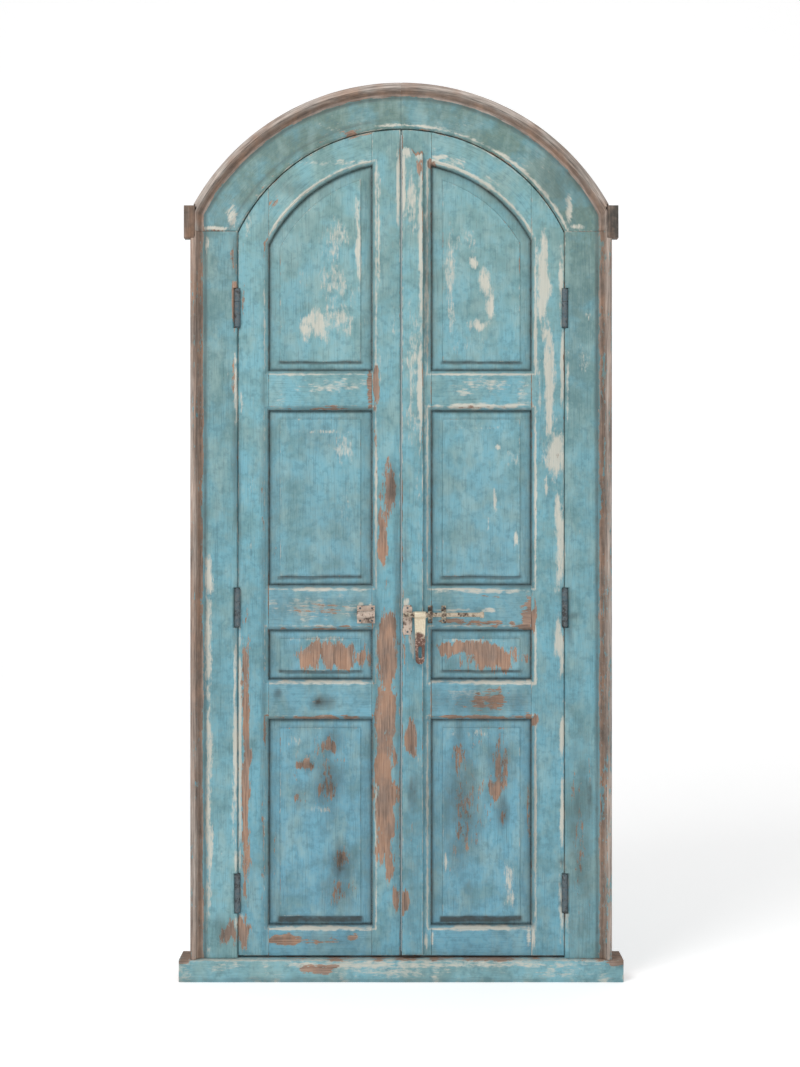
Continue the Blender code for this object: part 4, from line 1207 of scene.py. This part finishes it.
def bevel_marks(edge, sense, width):
    """Lines across one side of a panel, from its border in to the field."""
    step = FIELD_STEP / 2
    shares = [width * count / BEVEL_STEPS for count in range(1, BEVEL_STEPS + 1)]
    shares += [width + step * share for share in (0.2, 0.8, 1.0, 1.8)]
    return [edge + sense * (JOINT_GAP + share) for share in shares]


def panel_front(side_inset, end_inset):
    """Front of a panel: a bevel from the groove, a short step, and the flat field."""
    step = FIELD_STEP / 2
    beyond = np.minimum(side_inset - BEVEL_SIDE, end_inset - BEVEL_END)
    share = np.clip(np.minimum(side_inset / BEVEL_SIDE, end_inset / BEVEL_END), 0, 1)
    top = FIELD_SETBACK + FIELD_STEP
    bevel = TONGUE_SETBACK + (top - TONGUE_SETBACK) * share
    return LEAF_FRONT + bevel - FIELD_STEP * np.clip(beyond / step, 0, 1), beyond


def make_panel(side, name, seed):
    opening = openings_of(side)[name]
    node = f"{side}_{name}"
    left, right = opening.left + JOINT_GAP, opening.right - JOINT_GAP
    bottom = opening.bottom + JOINT_GAP
    marks = bevel_marks(opening.left, 1, BEVEL_SIDE) + bevel_marks(opening.right, -1, BEVEL_SIDE)
    across = lines(left, right, PANEL_SPACING, marks)
    up_marks = bevel_marks(opening.bottom, 1, BEVEL_END)
    if opening.arch is None:
        top = opening.top - JOINT_GAP
        up = lines(bottom, top, PANEL_SPACING, up_marks + bevel_marks(opening.top, -1, BEVEL_END))
        x, z = np.meshgrid(across, up, indexing="ij")
        side_inset = np.minimum(x - left, right - x)
        end_inset = np.minimum(z - bottom, top - z)
    else:
        level_rows = opening.arch.centre
        up = lines(bottom, level_rows, PANEL_SPACING, up_marks)
        x, z = np.meshgrid(across, up, indexing="ij")
        insets = {round(mark, 7) for mark in bevel_marks(0, 1, BEVEL_SIDE)} | {JOINT_GAP}
        radii = opening.arch.radius - np.array(sorted(insets, reverse=True))
        reach = np.maximum(radii[None, :] ** 2 - across[:, None] ** 2, 1e-5)
        arcs = opening.arch.centre + np.sqrt(reach)
        shares = np.linspace(0, 1, ARCHED_ROWS + 1)[1:-1]
        rows = level_rows + (arcs[:, :1] - level_rows) * shares[None, :]
        x, z = capped(across, z, np.concatenate([rows, arcs], 1))
        radial = opening.arch.radius - JOINT_GAP - np.hypot(x, z - opening.arch.centre)
        side_inset = np.minimum.reduce([x - left, right - x, radial])
        end_inset = z - bottom
    front, beyond = panel_front(side_inset, end_inset)
    front = front + 0.0004 * (1 + ripple(x, z, seed, 0.05, 0.20))
    edge = np.abs(beyond - FIELD_STEP / 2) + 0.0015
    coats = weather(x, z, edge, PANEL_SPOTS[node], seed + 1, bare=0.13, cream=0.16)
    # Painted shade on top of the listed spots: a dark line in the groove at the bevel's foot, with some
    # dirt, a line round the field's step, darkening up the side bevels towards the groove, and a dark
    # band under each field's bottom step.
    foot = bell(np.minimum(side_inset, end_inset), *GROOVE_SHADE_AND_DIRT)
    slopes = np.clip(1 - side_inset / BEVEL_SIDE, 0, 1) ** 0.4
    shade, rise, reach = PANEL_SHADE[name]
    uneven = 0.0022 * ripple(x, z, seed + 7, 0.03, 0.02)
    band = np.exp(-((z + uneven - bottom - rise) / reach) ** 4)
    band = band / (1 + np.exp((BEVEL_SIDE * 0.80 - side_inset - uneven) / 0.0012))
    coats = coats._replace(grime=np.maximum.reduce([
        coats.grime, 0.90 * foot, 0.34 * bell(beyond, *STEP_SHADE), 0.32 * slopes, shade * band
    ]))
    item = board(f"{node}_timber", x, front, z, PANEL_BACK, coats, (x, z, 0.37 * seed))
    paint, slot = leaf_paint(opening.bottom)
    painted(item, node, f"{side}_leaf", paint)


for number, side in enumerate(("left", "right")):
    for step, name in enumerate(("bottom_panel", "short_panel", "tall_panel", "arched_panel")):
        make_panel(side, name, 501 + 40 * number + 8 * step)

# Cover strip
# A flat lath fixed down the meeting edge of the right leaf. Both long edges are rubbed to the
# cream coat, and its top end has split off on the right and rotted to bare wood.
STRIP_ROUNDING = 0.003
STRIP_BREAK = 0.009
BREAK_STARTS = 0.020
BREAK_SLOPE = 0.014
SPLINTER = 0.006
ROT_DOWN = 0.014
ROT_DEPTH = 0.0045
STRIP_SPOTS = {
    "cream": [
        (6, 2130, 6, 110, 100), (14, 2215, 12, 16, 100), (44, 2212, 12, 18, 98),
        (52, 1960, 7, 230, 98), (51, 1600, 7, 140, 100), (28, 1640, 20, 180, 68),
        (26, 2080, 18, 110, 72), (30, 895, 12, 40, 80), (14, 1012, 12, 14, 90),
        (46, 1300, 8, 200, 42),
    ],
    "bare": [
        (50, 2180, 8, 30, 80), (26, 640, 17, 55, 100), (8, 214, 13, 38, 100), (30, 920, 22, 60, 55),
        (6, 900, 5, 110, 66), (30, 360, 16, 120, 42),
    ],
    "grime": [
        (32, 510, 12, 60, 70), (36, 450, 30, 420, 32), (30, 900, 24, 100, 42), (12, 1120, 10, 80, 40),
    ],
}


def make_strip():
    low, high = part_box("cover_strip")
    marks = arris(low.x, high.x, STRIP_ROUNDING)
    across = lines(low.x, high.x, FACE_SPACING * 0.7, marks)
    broken = np.clip((across - low.x - BREAK_STARTS) / BREAK_SLOPE, 0, 1)
    splinters = SPLINTER * (1 + ripple(across, 0 * across, 811, 0.0045, 1.0))
    tops = high.z - STRIP_BREAK * broken - splinters
    level_rows = high.z - 2.2 * STRIP_BREAK
    up = lines(low.z, level_rows, POST_SPACING, [low.z + 0.001, low.z + 0.003])
    x, z = np.meshgrid(across, up, indexing="ij")
    cap = level_rows + (tops - level_rows)[:, None] * np.linspace(0, 1, 13)[None, 1:]
    x, z = capped(across, z, cap)
    edge = np.minimum.reduce([x - low.x, high.x - x, z - low.z])
    front = low.y + worn_arris(edge, x, z, STRIP_ROUNDING, 812) * 0.9
    rot = np.clip(1 - (tops[:, None] - z) / ROT_DOWN, 0, 1) * (0.2 + 0.8 * broken[:, None])
    front = front + 0.0003 * (1 + ripple(x, z, 813, 0.02, 0.20)) + ROT_DEPTH * rot
    coats = weather(x, z, edge, STRIP_SPOTS, 814, bare=0.14, cream=0.24)
    coats = coats._replace(bare=np.maximum(coats.bare, rot))
    item = board("cover_strip_timber", x, front, z, high.y, coats, (x, z, 4.4))
    painted(item, "cover_strip", "right_leaf", LEAF_PAINT["upper_leaf_paint"])


make_strip()

# Cleats
# Two short blocks of rough wood let into the rim at the springing, dark with weather and with
# rounded corners. They once held the door to its wall.
CLEAT_SPACING = 0.004
CLEAT_ROUNDING = 0.003
CLEAT_DIRT = {"left": 0.66, "right": 0.92}
BARE_TIMBER = painted_timber("bare_timber", [(0.0, (0.16, 0.20, 0.19)), (1.0, (0.16, 0.20, 0.19))])


def make_cleat(side, seed):
    low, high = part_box(f"cleat_{side}")
    reach = arris(0, high.x - low.x, CLEAT_ROUNDING)
    across = lines(low.x, high.x, CLEAT_SPACING, [low.x + mark for mark in reach])
    up = lines(low.z, high.z, CLEAT_SPACING, arris(low.z, high.z, CLEAT_ROUNDING))
    x, z = np.meshgrid(across, up, indexing="ij")
    edge = np.minimum.reduce([x - low.x, high.x - x, z - low.z, high.z - z])
    front = low.y + worn_arris(edge, x, z, CLEAT_ROUNDING, seed)
    front = front + 0.0008 * (1 + ripple(x, z, seed + 1, 0.008, 0.03))
    grime = CLEAT_DIRT[side] + 0.30 * ripple(x, z, seed + 2, 0.02, 0.03)
    pale = 0.25 + 0.25 * ripple(x, z, seed + 3, 0.01, 0.05)
    coats = Coats(np.ones(x.shape), np.zeros(x.shape), grime, pale)
    item = board(f"cleat_{side}_timber", x, front, z, high.y, coats, (x, z, 0.2 * seed))
    painted(item, f"cleat_{side}", "frame", BARE_TIMBER)


make_cleat("left", 61)
make_cleat("right", 71)

# Hinges
# Three old wrought butt hinges a side, with three knuckles on a loose pin. Their plates lie in the
# gap between leaf and jamb, held by countersunk screws. Paint has flaked off the rusted barrels.
HINGE_PLATE = 0.0022
HINGE_PLATE_WIDTH = 0.032
HINGE_PLATE_PLAY = 0.0006
PIN_RADIUS = 0.003
PIN_CLEARANCE = 0.0005
KNUCKLE_ROUNDING = 0.0007
TURNED_STEPS = 36
SCREW_OFFSETS = (-0.036, 0.0, 0.036)
SCREW_BACK = 0.021
SCREW_RADIUS = 0.0034
SCREW_PROUD = 0.00018
METAL_RELIEF = 0.0005
METAL_CREASE = math.radians(40)
PLATE_ROUNDING = 0.0003
ROUND_HEAD_SEGMENTS = 16
ROUND_HEAD_RINGS = 8
SMALLEST_ROUND_HEAD = 0.82
FRONT_UP = Matrix.Rotation(math.pi / 2, 4, "X")
SIDE_UP = Matrix.Rotation(math.pi / 2, 4, "Z") @ FRONT_UP
ALONG_X = Matrix.Rotation(math.pi / 2, 4, "Y")


def old_metal(name, metal, rust, coat, coat_cover, metallic):
    """Old metal with rust and the remains of paint; coat_cover is about the share still painted."""
    mix = Recipe(name)
    broad = mix.noise(mix.place, 38.0, 4.0, 0.6)
    flakes = mix.noise(mix.place, 150.0, 4.0, 0.66)
    fine = mix.noise(mix.place, 520.0, 3.0, 0.6)
    rusty = (broad * 2.6 - 0.85 + fine * 0.3).clipped()
    colour = mix.mixed(rusty, metal, rust)
    colour = mix.mixed((fine * 2.0 - 0.6).clipped() * 0.5, colour, (0.030, 0.024, 0.020))
    kept = (flakes * 0.45 + broad * 0.55).above(0.72 - coat_cover * 0.44, 0.09)
    dirty_coat = mix.mixed((flakes * 2.4 - 0.9).clipped() * 0.6, coat, (0.210, 0.165, 0.135))
    colour = mix.mixed(kept, colour, dirty_coat)
    mix.feed(mix.shader.inputs["Metallic"], (1 - kept) * (1 - rusty * 0.8) * metallic)
    roughness = 0.46 + rusty * 0.25 + kept * 0.08 + fine * 0.1
    return mix.finish(colour, roughness, kept * 0.5 + broad * 0.5 + fine * 0.25, METAL_RELIEF)


def lathe(profile):
    """Points and faces of a shape turned about Z from (radius, along) pairs, closed in a ring."""
    count = len(profile)
    points, faces = [], []
    for step in range(TURNED_STEPS):
        turn = 2 * math.pi * step / TURNED_STEPS
        points += [(radius * math.cos(turn), radius * math.sin(turn), along) for radius, along in profile]
        after = (step + 1) % TURNED_STEPS
        for k in range(count):
            nearer, further = k, (k + 1) % count
            faces.append((step * count + nearer, after * count + nearer,
                          after * count + further, step * count + further))
    return points, faces


def tube(start, end, radius, bore, rounding):
    """Ring profile of a tube along Z with rounded rims."""
    outside = []
    for end_place, sense in ((start, 1), (end, -1)):
        turns = (0, 30, 60, 90) if sense > 0 else (90, 60, 30, 0)
        outside += [
            (radius - rounding + rounding * math.sin(math.radians(turn)),
             end_place + sense * rounding * (1 - math.cos(math.radians(turn))))
            for turn in turns
        ]
    return [(bore, start)] + outside + [(bore, end)]


def cut_plate(outlines, thickness, rounding):
    """Points and faces of a plate with rounded edges, from its outline and any holes."""
    curve = bpy.data.curves.new("plate_outline", "CURVE")
    curve.dimensions = "2D"
    curve.fill_mode = "BOTH"
    curve.extrude = thickness / 2 - rounding
    curve.bevel_depth = rounding
    curve.bevel_resolution = 2
    curve.offset = -rounding
    for outline in outlines:
        spline = curve.splines.new("POLY")
        spline.points.add(len(outline) - 1)
        for point, (u, v) in zip(spline.points, outline):
            point.co = (u, v, 0, 1)
        spline.use_cyclic_u = True
    item = bpy.data.objects.new("plate_outline", curve)
    mesh = bpy.data.meshes.new_from_object(item)
    points = [tuple(vertex.co) for vertex in mesh.vertices]
    faces = [tuple(face.vertices) for face in mesh.polygons]
    bpy.data.objects.remove(item)
    bpy.data.curves.remove(curve)
    bpy.data.meshes.remove(mesh)
    return points, faces


def fitting(name, shells, material, node, body):
    """One metal piece from closed shells, each with the matrix that puts it in its place."""
    work = bmesh.new()
    for (points, faces), matrix in shells:
        corners = [work.verts.new(matrix @ Vector(point)) for point in points]
        for face in faces:
            work.faces.new([corners[index] for index in face])
    bmesh.ops.remove_doubles(work, verts=work.verts, dist=2e-6)
    bmesh.ops.recalc_face_normals(work, faces=work.faces)
    mesh = bpy.data.meshes.new(name)
    work.to_mesh(mesh)
    work.free()
    mesh.shade_smooth()
    mesh.set_sharp_from_angle(angle=METAL_CREASE)
    mesh.materials.append(material)
    item = bpy.data.objects.new(name, mesh)
    bpy.context.scene.collection.objects.link(item)
    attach(item, body)
    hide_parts(node)


def head_tree():
    """Geometry Nodes that put a round head on every point, turned to face its own way."""
    tree = bpy.data.node_groups.new("round_heads", "GeometryNodeTree")
    face = tree.interface
    face.new_socket("Geometry", in_out="INPUT", socket_type="NodeSocketGeometry")
    inputs = {"Radius": "Float", "Proud": "Float", "Seed": "Int", "Material": "Material"}
    for title, kind in inputs.items():
        face.new_socket(title, in_out="INPUT", socket_type=f"NodeSocket{kind}")
    face.new_socket("Geometry", in_out="OUTPUT", socket_type="NodeSocketGeometry")

    def add(kind, **settings):
        made = tree.nodes.new(kind)
        for key, value in settings.items():
            setattr(made, key, value)
        return made

    def join(source, target):
        tree.links.new(source, target)

    start = add("NodeGroupInput")
    ball = add("GeometryNodeMeshUVSphere")
    ball.inputs["Segments"].default_value = ROUND_HEAD_SEGMENTS
    ball.inputs["Rings"].default_value = ROUND_HEAD_RINGS
    join(start.outputs["Radius"], ball.inputs["Radius"])
    flatness = add("ShaderNodeMath", operation="DIVIDE")
    join(start.outputs["Proud"], flatness.inputs[0])
    join(start.outputs["Radius"], flatness.inputs[1])
    shape = add("ShaderNodeCombineXYZ")
    shape.inputs["X"].default_value = 1.0
    shape.inputs["Y"].default_value = 1.0
    join(flatness.outputs[0], shape.inputs["Z"])
    flat = add("GeometryNodeTransform")
    join(ball.outputs["Mesh"], flat.inputs["Geometry"])
    join(shape.outputs[0], flat.inputs["Scale"])
    facing = add("GeometryNodeInputNamedAttribute", data_type="FLOAT_VECTOR")
    facing.inputs["Name"].default_value = "facing"
    turn = add("FunctionNodeAlignRotationToVector", axis="Z")
    join(facing.outputs["Attribute"], turn.inputs["Vector"])
    size = add("FunctionNodeRandomValue", data_type="FLOAT")
    size.inputs[2].default_value = SMALLEST_ROUND_HEAD
    size.inputs[3].default_value = 1.0
    join(start.outputs["Seed"], size.inputs["Seed"])
    place = add("GeometryNodeInstanceOnPoints")
    join(start.outputs["Geometry"], place.inputs["Points"])
    join(flat.outputs["Geometry"], place.inputs["Instance"])
    join(turn.outputs["Rotation"], place.inputs["Rotation"])
    join(size.outputs[1], place.inputs["Scale"])
    real = add("GeometryNodeRealizeInstances")
    join(place.outputs["Instances"], real.inputs["Geometry"])
    coat = add("GeometryNodeSetMaterial")
    join(real.outputs["Geometry"], coat.inputs["Geometry"])
    join(start.outputs["Material"], coat.inputs["Material"])
    finish = add("NodeGroupOutput")
    join(coat.outputs["Geometry"], finish.inputs["Geometry"])
    return tree


ROUND_HEADS = head_tree()


def heads(name, places, radius, proud, seed, material, body):
    """Nail or screw heads of one body; each place is a point and the way that its head faces."""
    mesh = bpy.data.meshes.new(name)
    mesh.from_pydata([point for point, facing in places], [], [])
    layer = mesh.attributes.new("facing", "FLOAT_VECTOR", "POINT")
    layer.data.foreach_set("vector", [part for point, facing in places for part in facing])
    item = bpy.data.objects.new(name, mesh)
    bpy.context.scene.collection.objects.link(item)
    modifier = item.modifiers.new("heads", "NODES")
    modifier.node_group = ROUND_HEADS
    values = {"Radius": radius, "Proud": proud, "Seed": seed, "Material": material}
    for socket in ROUND_HEADS.interface.items_tree:
        if socket.in_out == "INPUT" and socket.name in values:
            modifier[socket.identifier] = values[socket.name]
    ready = item.evaluated_get(bpy.context.evaluated_depsgraph_get())
    plain = bpy.data.meshes.new_from_object(ready)
    item.modifiers.remove(modifier)
    item.data = plain
    plain.name = name
    plain.shade_smooth()
    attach(item, body)


HINGE_IRON = old_metal("hinge_iron", (0.050, 0.056, 0.060), (0.085, 0.062, 0.050),
                       (0.058, 0.105, 0.130), 0.62, 0.6)


def plate_outline(length, knuckles):
    """A hinge plate as (y, z) points from the pin, with a neck to each of its knuckles."""
    front = HINGE_RADIUS + POCKET_CLEARANCE
    neck = PIN_RADIUS + PIN_CLEARANCE + 0.0012
    points = [(HINGE_PLATE_WIDTH, length / 2), (HINGE_PLATE_WIDTH, -length / 2)]
    for start, end in knuckles:
        points += [(front, start), (neck, start), (neck, end), (front, end)]
    if knuckles[0][0] > -length / 2:
        points.insert(2, (front, -length / 2))
        points.append((front, length / 2))
    return points


def make_hinge(side, place):
    sense = -1 if side == "left" else 1
    low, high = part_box(f"{side}_{place}_hinge_frame_half")
    length, height = high.z - low.z, (low.z + high.z) / 2
    third = length / 3
    halves = {
        "frame": (1, [(-length / 2, -third / 2 - JOINT_GAP), (third / 2 + JOINT_GAP, length / 2)]),
        "leaf": (-1, [(-third / 2 + JOINT_GAP, third / 2 - JOINT_GAP)]),
    }
    axis = Matrix.Translation((sense * HINGE_X, HINGE_Y, height))
    for half, (outward, knuckles) in halves.items():
        offset = sense * outward * (HINGE_PLATE_PLAY + HINGE_PLATE) / 2
        blade = cut_plate([plate_outline(length, knuckles)], HINGE_PLATE, PLATE_ROUNDING)
        shells = [(blade, axis @ Matrix.Translation((offset, 0, 0)) @ SIDE_UP)]
        for start, end in knuckles:
            ring = tube(start, end, HINGE_RADIUS, PIN_RADIUS + PIN_CLEARANCE, KNUCKLE_ROUNDING)
            shells.append((lathe(ring), axis))
        node = f"{side}_{place}_hinge_{half}_half"
        body = "frame" if half == "frame" else f"{side}_leaf"
        fitting(f"{node}_iron", shells, HINGE_IRON, node, body)
    pin = f"{side}_{place}_hinge_pin"
    pin_low, pin_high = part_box(pin)
    top = (pin_high.z - pin_low.z) / 2
    head_radius = (pin_high.x - pin_low.x) / 2
    neck = length / 2 + JOINT_GAP
    profile = [
        (0, -top), (head_radius * 0.6, -top + 0.0004), (head_radius, -top + 0.0014),
        (head_radius, -neck), (PIN_RADIUS, -neck),
    ]
    profile += [(radius, -along) for radius, along in reversed(profile)]
    fitting(f"{pin}_iron", [(lathe(profile), axis)], HINGE_IRON, pin, "frame")


for side in ("left", "right"):
    for place in HINGE_PLACES:
        make_hinge(side, place)

HINGE_SCREWS = {"frame": [], "left_leaf": [], "right_leaf": []}
for side, sense in (("left", -1), ("right", 1)):
    for height, half_length in hinge_heights(side):
        for offset in SCREW_OFFSETS:
            for body, outward in (("frame", 1), (f"{side}_leaf", -1)):
                across = sense * (HINGE_X + outward * HINGE_PLATE_PLAY / 2)
                point = (across, HINGE_Y + SCREW_BACK, height + offset)
                HINGE_SCREWS[body].append((point, (-sense * outward, 0, 0)))
for number, (body, places) in enumerate(HINGE_SCREWS.items()):
    heads(f"{body}_hinge_screws", places, SCREW_RADIUS, SCREW_PROUD, 5 + number, HINGE_IRON, body)

# Bolt
# A forged round rod with a collar each side of the hasp and a thick end to pull. It runs through
# two bent straps on the right leaf into a wide one on the left. All of it has carried cream paint,
# now rubbed and dirty, and shows dark iron between.
BOLT_LOW, BOLT_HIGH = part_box("bolt")
BOLT_RADIUS = 0.006
COLLAR_RADIUS = (BOLT_HIGH.z - BOLT_LOW.z) / 2
COLLAR_WIDTH = 0.003
COLLAR_PLAY = 0.0006
COLLAR_ROUNDING = 0.0005
KNOB_LENGTH = 0.010
KNOB_ROUNDING = 0.001
BOLT_Y = (BOLT_LOW.y + BOLT_HIGH.y) / 2
BOLT_Z = (BOLT_LOW.z + BOLT_HIGH.z) / 2
HASP_LOW, HASP_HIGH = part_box("hasp")
HASP_PLACE = (HASP_LOW.x + HASP_HIGH.x) / 2
STRAP_FOOT = 0.014
STRAP_STEPS = 24
STRAP_ROUNDING = 0.0006
NAIL_RADIUS = 0.0032
NAIL_PROUD = 0.0011
ROD_IRON = old_metal("rod_iron", (0.050, 0.042, 0.038), (0.130, 0.070, 0.042),
                     (0.560, 0.470, 0.350), 0.54, 0.7)
STRAP_IRON = old_metal("strap_iron", (0.070, 0.055, 0.048), (0.190, 0.105, 0.068),
                       (0.600, 0.480, 0.395), 0.56, 0.6)
GUIDE_IRON = old_metal("guide_iron", (0.060, 0.050, 0.044), (0.170, 0.100, 0.062),
                       (0.500, 0.450, 0.340), 0.44, 0.6)
STRAPS = {
    "bolt_keeper": (0.0018, "left_leaf", STRAP_IRON),
    "bolt_inner_guide": (0.0030, "right_leaf", GUIDE_IRON),
    "bolt_outer_guide": (0.0030, "right_leaf", GUIDE_IRON),
}


def strap_section(low, high, thickness):
    """A bent strap as (y, z) points from the leaf's face and the rod's height."""
    back = (high.z - low.z) / 2 - STRAP_FOOT
    hole = back - thickness
    standoff = LEAF_FRONT - BOLT_Y
    base = high.y - LEAF_FRONT
    points = [(base, -back - STRAP_FOOT), (base, -hole)]
    turns = [math.pi * (step / STRAP_STEPS - 0.5) for step in range(STRAP_STEPS + 1)]
    points += [(-standoff - hole * math.cos(turn), hole * math.sin(turn)) for turn in turns]
    points += [
        (base, hole), (base, back + STRAP_FOOT), (base - thickness, back + STRAP_FOOT),
        (base - thickness, back),
    ]
    points += [(-standoff - back * math.cos(turn), -back * math.sin(turn)) for turn in turns]
    return points + [(base - thickness, -back), (base - thickness, -back - STRAP_FOOT)]


def make_strap(node):
    thickness, body, metal = STRAPS[node]
    low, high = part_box(node)
    shell = cut_plate([strap_section(low, high, thickness)], high.x - low.x, STRAP_ROUNDING)
    place = Matrix.Translation(((low.x + high.x) / 2, LEAF_FRONT, BOLT_Z)) @ SIDE_UP
    fitting(f"{node}_iron", [(shell, place)], metal, node, body)


def make_rod():
    start, end = BOLT_LOW.x, BOLT_HIGH.x
    tip = BOLT_RADIUS / 3
    near = HASP_PLACE - (HASP_HIGH.x - HASP_LOW.x) / 2 - COLLAR_PLAY
    far = HASP_PLACE + (HASP_HIGH.x - HASP_LOW.x) / 2 + COLLAR_PLAY
    profile = [(0, start), (BOLT_RADIUS - tip, start), (BOLT_RADIUS, start + tip)]
    for first, last in ((near - COLLAR_WIDTH, near), (far, far + COLLAR_WIDTH)):
        profile += [
            (BOLT_RADIUS, first),
            (COLLAR_RADIUS - COLLAR_ROUNDING, first),
            (COLLAR_RADIUS, first + COLLAR_ROUNDING),
            (COLLAR_RADIUS, last - COLLAR_ROUNDING),
            (COLLAR_RADIUS - COLLAR_ROUNDING, last),
            (BOLT_RADIUS, last),
        ]
    knob = end - KNOB_LENGTH
    profile += [
        (BOLT_RADIUS, knob), (COLLAR_RADIUS - KNOB_ROUNDING, knob),
        (COLLAR_RADIUS, knob + KNOB_ROUNDING), (COLLAR_RADIUS, end - tip),
        (COLLAR_RADIUS - tip, end), (0, end),
    ]
    place = Matrix.Translation((0, BOLT_Y, BOLT_Z)) @ ALONG_X
    fitting("bolt_iron", [(lathe(profile), place)], ROD_IRON, "bolt", "bolt")


for node in STRAPS:
    make_strap(node)
make_rod()

# Hasp
# A forged strap whose eye turns on the rod between the collars, with a slot near its rounded end
# for the staple. The top of it is worn bright and creamy, the tongue is dark red-brown.
HASP_THICKNESS = 0.004
HASP_END_HALF = 0.012
HASP_CLEARANCE = 0.0005
HASP_STEPS = 16
HASP_SHOULDER = 0.35
HASP_TAPER = 0.0012
HASP_ROUNDING = 0.0008
SLOT_HALF = 0.0045
SLOT_LENGTH = 0.032
SLOT_MARGIN = 0.016
EYE_BRIGHT_DOWN_TO = 0.925


def worn_brass():
    mix = Recipe("worn_brass")
    broad = mix.noise(mix.place, 60.0, 4.0, 0.6)
    fine = mix.noise(mix.place, 380.0, 3.0, 0.6)
    flakes = mix.noise(mix.place, 170.0, 4.0, 0.66)
    bright = (mix.height() + (broad - 0.5) * 0.06).above(EYE_BRIGHT_DOWN_TO, 0.012)
    pinkish = flakes.above(0.56, 0.04) * 0.7
    dark = mix.mixed(pinkish, (0.120, 0.060, 0.042), (0.480, 0.330, 0.270))
    cream = mix.mixed((fine * 1.6 - 0.4).clipped(), (0.540, 0.450, 0.310), (0.860, 0.780, 0.620))
    colour = mix.mixed(bright, dark, cream)
    mix.feed(mix.shader.inputs["Metallic"], bright * 0.25 + 0.15)
    height = broad * 0.6 + fine * 0.3 + flakes * 0.2
    return mix.finish(colour, 0.42 + broad * 0.2, height, METAL_RELIEF)


def make_hasp():
    half = (HASP_HIGH.x - HASP_LOW.x) / 2
    length = BOLT_Z - HASP_LOW.z
    radius = BOLT_Y - HASP_LOW.y
    hang = (radius + BOLT_RADIUS + HASP_CLEARANCE) / 2
    turns = [math.pi * step / HASP_STEPS for step in range(HASP_STEPS + 1)]
    shoulder = -HASP_SHOULDER * length
    tongue = [(half, -hang), (half - HASP_TAPER, shoulder)]
    tongue += [
        (HASP_END_HALF * math.cos(turn), HASP_END_HALF - length - HASP_END_HALF * math.sin(turn))
        for turn in turns
    ]
    tongue += [(HASP_TAPER - half, shoulder), (-half, -hang)]
    bottom = SLOT_MARGIN + SLOT_HALF - length
    top = bottom + SLOT_LENGTH - 2 * SLOT_HALF
    slot = [(SLOT_HALF * math.cos(turn), top + SLOT_HALF * math.sin(turn)) for turn in turns]
    slot += [(-SLOT_HALF * math.cos(turn), bottom - SLOT_HALF * math.sin(turn)) for turn in turns]
    place = Matrix.Translation((HASP_PLACE, BOLT_Y, BOLT_Z))
    eye = tube(-half, half, radius, BOLT_RADIUS + HASP_CLEARANCE, KNUCKLE_ROUNDING)
    blade = cut_plate([tongue, slot], HASP_THICKNESS, HASP_ROUNDING)
    shells = [(blade, place @ FRONT_UP), (lathe(eye), place @ ALONG_X)]
    fitting("hasp_brass", shells, worn_brass(), "hasp", "hasp")


make_hasp()

# Wear plate and nails
# A thin plate on the cover strip takes the rub of the bolt's tip. It and the straps are held by
# hand-made nails with low rounded heads.
PLATE_NAIL_INSET = 0.008
STRAP_NAIL_INSET = 0.008
PLATE_CORNERS = 40
PLATE_WEAR = 0.0005


def make_wear_plate():
    low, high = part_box("wear_plate")
    half_x, half_z = (high.x - low.x) / 2, (high.z - low.z) / 2
    worn = ripple(np.arange(float(PLATE_CORNERS)), np.zeros(PLATE_CORNERS), 907, 1.0, 1.0)
    outline = []
    for k in range(PLATE_CORNERS):
        turn = 2 * math.pi * (k + 0.5) / PLATE_CORNERS
        across, up = math.cos(turn), math.sin(turn)
        reach = 1 / max(abs(across) / half_x, abs(up) / half_z)
        inset = PLATE_WEAR * (1 + worn[k])
        outline.append((across * reach * (1 - inset / half_x), up * (reach - inset)))
    shell = cut_plate([outline], high.y - low.y, PLATE_ROUNDING)
    place = Matrix.Translation(((low.x + high.x) / 2, (low.y + high.y) / 2, (low.z + high.z) / 2))
    shells = [(shell, place @ FRONT_UP)]
    fitting("wear_plate_iron", shells, STRAP_IRON, "wear_plate", "right_leaf")


def nail_places():
    """Where nails go on each leaf: the point under each head, with the way that it faces."""
    found = {"left_leaf": [], "right_leaf": []}
    out = (0, -1, 0)
    for node, (thickness, body, metal) in STRAPS.items():
        low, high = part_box(node)
        across = [(low.x + high.x) / 2]
        if high.x - low.x > 3 * STRAP_NAIL_INSET:
            across = [low.x + STRAP_NAIL_INSET, high.x - STRAP_NAIL_INSET]
        for x in across:
            for z in (low.z + STRAP_FOOT / 2, high.z - STRAP_FOOT / 2):
                found[body].append(((x, high.y - thickness, z), out))
    low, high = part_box("wear_plate")
    for z in (low.z + PLATE_NAIL_INSET, high.z - PLATE_NAIL_INSET):
        found["right_leaf"].append((((low.x + high.x) / 2, low.y, z), out))
    return found


make_wear_plate()
for number, (body, places) in enumerate(nail_places().items()):
    heads(f"{body}_nails", places, NAIL_RADIUS, NAIL_PROUD, 21 + number, HINGE_IRON, body)
